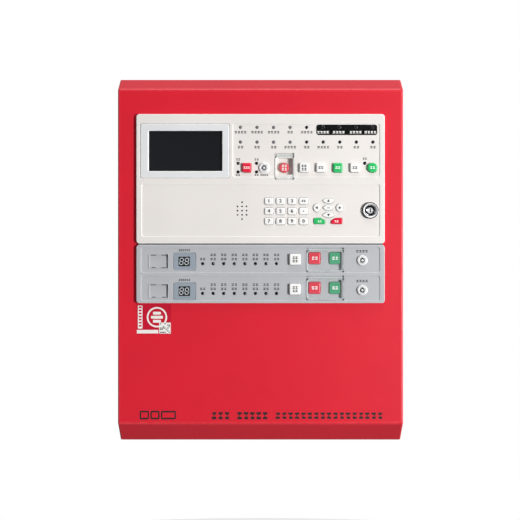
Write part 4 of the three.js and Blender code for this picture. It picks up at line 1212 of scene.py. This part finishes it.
def build_gear_plate():
    front, back = -12, -10.5
    piece = Piece("gear_plate", WALL_PLANE)
    ducts = [centred(x, -52, 60, 8, 4) for x in (-100, 0, 100)] + [centred(73, 100, 6, 70, 3)]
    piece.plate("brushed", area_of("gear_plate"), front, back, 0.3, 4, back_edge=0.3, holes=ducts)
    for x in (-158, 158):
        for z in (-58, 216):
            piece.disc("zinc", x, z, 5, back, -1.8, sides=6)
            piece.screw(x, z, front, 4.2)
    piece.done("cabinet", "zinc_steel", "gear_plate")


def build_main_board():
    face = MOUNTING_FACE - STANDOFF
    top = face - BOARD_SHEET
    piece = Piece("main_board", WALL_PLANE)
    piece.plate("board", MAIN_BOARD_AREA, top, face, 0, 2)
    clear = []
    for x in (-142, 58):
        for z in (-32, 188):
            piece.disc("brass", x, z, 3, face, MOUNTING_FACE, sides=6)
            piece.screw(x, z, top, 2.8)
            clear.append(around(x, z, 5, 5))
    for i in range(5):
        x = -130 + i * 24
        look = "relay" if i < 3 else "black_plastic"
        piece.block(look, x, 172, 18, 22, face - 17, top, 0.6, 0.8)
        piece.block("ink_white", x, 176, 11, 4.5, face - 17.05, face - 17)
        clear.append(around(x, 172, 10, 12))
    for x in (-110, -50, 10):
        piece.block("terminal", x, -24, 46, 11, face - 12, top, 0.5, 0.5)
        for k in range(9):
            piece.screw(x - 20 + k * 5, -22, face - 12, 1.5)
        clear.append(around(x, -24, 25, 8))
    x, z = -60, 78
    piece.block("black_plastic", x, z, 34, 34, face - 4.2, top, 0.4, 0.8)
    for run in range(-15, 17, 2):
        for across, up, width, height in ((run, 18, 0.6, 2), (run, -18, 0.6, 2), (18, run, 2, 0.6),
                                          (-18, run, 2, 0.6)):
            piece.block("zinc", x + across, z + up, width, height, top - 0.4, top)
    clear.append(around(x, z, 22, 22))
    x, z = 24, 96
    piece.block("black_plastic", x, z, 44, 38, face - 6, top, 0.6, 1.2)
    piece.block("brass", x, z, 30, 30, face - 21, face - 6, 1.2, 3)
    piece.block("zinc", x, z, 44, 14, face - 24, face - 6, 0.6, 0.8)
    clear.append(around(x, z, 24, 22))
    for x, z, radius, tall in CANS:
        capacitor(piece, x, z, radius, top, -1, tall)
        clear.append(around(x, z, radius + 1, radius + 1))
    for x, z, width, height in CHIPS:
        chip(piece, x, z, width, height, top, -1, 1.8)
        clear.append(around(x, z, width / 2 + 1, height / 2 + 2))
    piece.block("black_plastic", -20, 182, 40, 8, top - 8.5, top, 0.3)
    clear.append(around(-20, 182, 22, 6))
    traces(piece, MAIN_BOARD_AREA, top, -1, 130)
    scatter(piece, MAIN_BOARD_AREA, top, -1, 260, clear)
    piece.done("cabinet", "circuit_board", "main_board")


def build_terminal_strip():
    left, right, front, back, bottom, top = cad("terminal_strip")
    piece = Piece("terminal_strip", WALL_PLANE)
    ledge, ways, z = back - 11, 20, (bottom + top) / 2
    pitch = (right - left) / ways
    piece.plate("terminal", (left, right, bottom, top), ledge, back, 0.3)
    for i in range(ways + 1):
        x = min(max(left + i * pitch, left + 1), right - 1)
        piece.block("terminal", x, z, 1.9, top - bottom, front, ledge + 0.2, 0.25, support=0.1)
    for i in range(ways):
        x = left + (i + 0.5) * pitch
        piece.block("zinc", x, z, pitch - 3.4, 15, ledge - 1.2, ledge, 0.2, 0.5, support=0.1)
        for screw_z in (bottom + 5, top - 5):
            piece.screw(x, screw_z, ledge - 1.2, 2.6)
    piece.done("cabinet", "terminal_plastic", "terminal_strip")


def build_power_supply():
    """A slotted hood over a base that carries the terminals below it."""
    left, right, front, back, bottom, top = cad("power_supply")
    foot = bottom + 18
    hood = (left, right, foot, top)
    piece = Piece("power_supply", WALL_PLANE)
    slots = [centred(left + 14 + column * 8, foot + 18 + row * 13, 3.4, 9.5, 1.7)
             for column in range(8) for row in range(10)]
    piece.plate("brushed", hood, front, front + 1.2, 0.5, 1.0, holes=slots, hole_edge=0.15,
                support=0.1)
    # A near-black sheet behind the slots: painted shade inside the hood.
    piece.plate("painted_slot_shade", grown(hood, -1), front + 2.4, front + 3)
    piece.plate("brushed", hood, front + 1.2, back - 13, 0, 1.0, holes=[rounded(*grown(hood, -1.2))])
    piece.plate("brushed", (left, right, bottom, top), back - 14, back, 0.4, 1.0)
    piece.plate("black_plastic", (left + 4, right - 4, bottom + 2, foot - 2), back - 13.9, back - 14)
    # The terminal openings are near-black blocks: painted shade.
    for i in range(8):
        x = left + 8 + i * 9.7
        piece.block("painted_slot_shade", x, bottom + 9, 7.2, 11, back - 14.8, back - 14, 0.2, 0.4, support=0.1)
        piece.screw(x, bottom + 9, back - 14.8, 2.6)
    for x in (left + 5, right - 5):
        for z in (top - 5, foot + 5):
            piece.screw(x, z, front, 2.2)
    piece.done("cabinet", "zinc_steel", "power_supply")


def build_battery(node):
    left, right, front, back, bottom, top = cad(node)
    lid_top = top - 6.5
    x = (left + right) / 2
    piece = Piece(node, WALL_PLANE)
    piece.plate("battery", (left, right, bottom, lid_top - 12), front, back, 1.6, 2.0, back_edge=1.6)
    piece.plate("battery", (left + 0.4, right - 0.4, lid_top - 11.4, lid_top), front + 0.4, back - 0.4,
                1.4, 1.6, back_edge=1.4)
    piece.plate("battery", (left + 1.2, right - 1.2, lid_top - 12.6, lid_top - 10.8), front + 1.2,
                back - 1.2)
    for row in range(3):
        z = bottom + 16 + row * 4
        piece.plate("battery", (left + 8, right - 8, z, z + 1.6), front - 0.02, front + 0.4, 0.01, 0.5)
    piece.plate("white_film", (x - 46, x + 46, bottom + 34, bottom + 66), front - 0.08, front, 0, 2)
    piece.bars("ink", x, bottom + 56, front - 0.08, 9, 6, 7, 1.6)
    piece.bars("ink", x, bottom + 44, front - 0.08, 14, 3.2, 3.4, 1.2)
    for side, look in ((-1, "red_cap"), (1, "black_plastic")):
        post = x + side * ((right - left) / 2 - 10)
        piece.at(post, back - 12.4, lid_top, FACING_UP)
        piece.disc(look, 0, 0, 6.5, -0.5, 0.7, sides=28, back_edge=0.3)
        piece.at()
        piece.block("zinc", post, lid_top + 3.2, 6.3, 6.6, back - 12.8, back - 12, 0, 0.8)
    piece.done("cabinet", "battery_case", node)


def build_battery_strap():
    left, right, front, back, bottom, top = cad("battery_strap")
    side = right - 16
    piece = Piece("battery_strap", WALL_PLANE)
    piece.plate("brushed", (left + 14, right - 14, bottom, top), front, front + 2, 0.4, 1.5,
                back_edge=0.4)
    for sign in (-1, 1):
        low, high = span(sign * side, sign, 2)
        piece.plate("brushed", (low, high, bottom, top), front + 1, back)
        low, high = span(sign * side, sign, 16)
        piece.plate("brushed", (low, high, bottom, top), back - 2, back, 0.3, 1.5)
        piece.screw(sign * (side + 9), (bottom + top) / 2, back - 2, 3.6)
    for z in (bottom + 0.6, top - 0.6):
        piece.plate("foam", (-side + 2, side - 2, z - 0.6, z + 0.6), front + 0.4, front + 2.2)
    piece.done("cabinet", "zinc_steel", "battery_strap")


# ---- Stage, light and camera, in metres and watts ----

FLOOR_RADIUS, FLOOR_HEIGHT, FLOOR_EMISSION = 2.3, -0.9, 0.45
FRONT_GLOW, SIDE_GLOW, BACK_GLOW = 0.1, 0.6, 2.2
FOOT_GLOW, HEAD_GLOW = 0.4, 0.65
LEFT_GLOW, RIGHT_GLOW = 0.5, 1.05
# Each light's place, size and power: a hard one at the right, a broad one overhead, a weak one in front
LIGHTS = {"key": ((2.35, -2.4, -0.1), 0.6, 124), "overhead": ((0.1, -0.55, 2.05), 1.4, 20),
          "fill": ((-0.9, -1.4, -1.3), 1.2, 20)}
CAMERA_DISTANCE, PICTURE_WIDTH, CAMERA_X, SENSOR = 1.5, 0.6924, -0.0007, 36


def build_stage():
    """A pale floor well below the hung panel."""
    material = make_look("pale_floor", (236, 236, 236), 0.7, 60, 0.02, 0.01)
    put(material.node_tree, material.node_tree.nodes["Principled BSDF"],
        {"Emission Color": (1, 1, 1, 1), "Emission Strength": FLOOR_EMISSION})
    bm = bmesh.new()
    bmesh.ops.create_circle(bm, cap_ends=True, radius=FLOOR_RADIUS, segments=96)
    mesh = bpy.data.meshes.new("floor")
    bm.to_mesh(mesh)
    bm.free()
    mesh.materials.append(material)
    floor = new_object("floor", mesh)
    floor.location.z = FLOOR_HEIGHT
    floor.visible_diffuse = False
    floor.visible_glossy = False


def build_world():
    """White behind the object; as light and reflections, dim in front and brighter overhead."""
    world = bpy.data.worlds.new("studio")
    bpy.context.scene.world = world
    world.use_nodes = True
    tree = world.node_tree
    directions = tree.nodes.new("ShaderNodeTexCoord").outputs["Generated"]
    x, y, z = add(tree, "SeparateXYZ", {"Vector": directions}).outputs
    sides = times(tree, remap(tree, y, FRONT_GLOW, SIDE_GLOW, -0.95, -0.3),
                  remap(tree, y, 1.0, BACK_GLOW, 0.5, 0.95))
    rest = times(tree, remap(tree, z, FOOT_GLOW, HEAD_GLOW, -0.7, 0.7),
                 remap(tree, x, LEFT_GLOW, RIGHT_GLOW, -0.7, 0.5))
    seen = tree.nodes.new("ShaderNodeLightPath").outputs["Is Camera Ray"]
    strength = remap(tree, seen, times(tree, sides, rest), 1.0, 0.0, 1.0)
    put(tree, tree.nodes["Background"], {"Color": (1, 1, 1, 1), "Strength": strength})


def build_light():
    target = Vector((0, DOOR_PLANE * MM, 0))
    for name, (place, size, power) in LIGHTS.items():
        data = bpy.data.lights.new(name, "AREA")
        data.shape = "DISK"
        data.size = size
        data.energy = power
        light = new_object(name, data)
        light.location = place
        light.rotation_euler = (target - Vector(place)).to_track_quat("-Z", "Y").to_euler()
    bpy.context.scene.view_settings.view_transform = "Standard"


def build_camera():
    """Straight on to the door, a metre and a half in front of it."""
    data = bpy.data.cameras.new("camera")
    data.sensor_width = SENSOR
    data.lens = SENSOR * CAMERA_DISTANCE / PICTURE_WIDTH
    camera = new_object("camera", data)
    camera.location = (CAMERA_X, DOOR_PLANE * MM - CAMERA_DISTANCE, 0)
    camera.rotation_euler = (math.radians(90), 0, 0)
    bpy.context.scene.camera = camera


# ---- Assembly ----

build_camera()
build_world()
build_light()
build_stage()
build_back_box()
build_hinge_pins()
build_gear_plate()
build_main_board()
build_terminal_strip()
build_power_supply()
for side in ("left", "right"):
    build_battery("battery_" + side)
build_battery_strap()
build_door()
build_door_label()
build_door_print()
build_main_fascia()
build_zone_fascia()
build_indicators()
build_main_legends()
for zone in ZONES:
    build_zone_legends(zone)
for zone in ZONES:
    build_zone_plates(zone)
build_display()
build_cover("main_cover", MAIN_COVER)
for zone in ZONES:
    build_cover(zone["name"] + "_cover", lifted(ZONE_COVER, zone["frame"]))
build_key_board()
build_zone_board()
build_speaker()
build_lock()
build_lock_plug()
build_lock_cam()
for switch in ("main_switch", "zone_1_switch", "zone_2_switch"):
    build_switch_plug(switch + "_plug")
build_buttons()
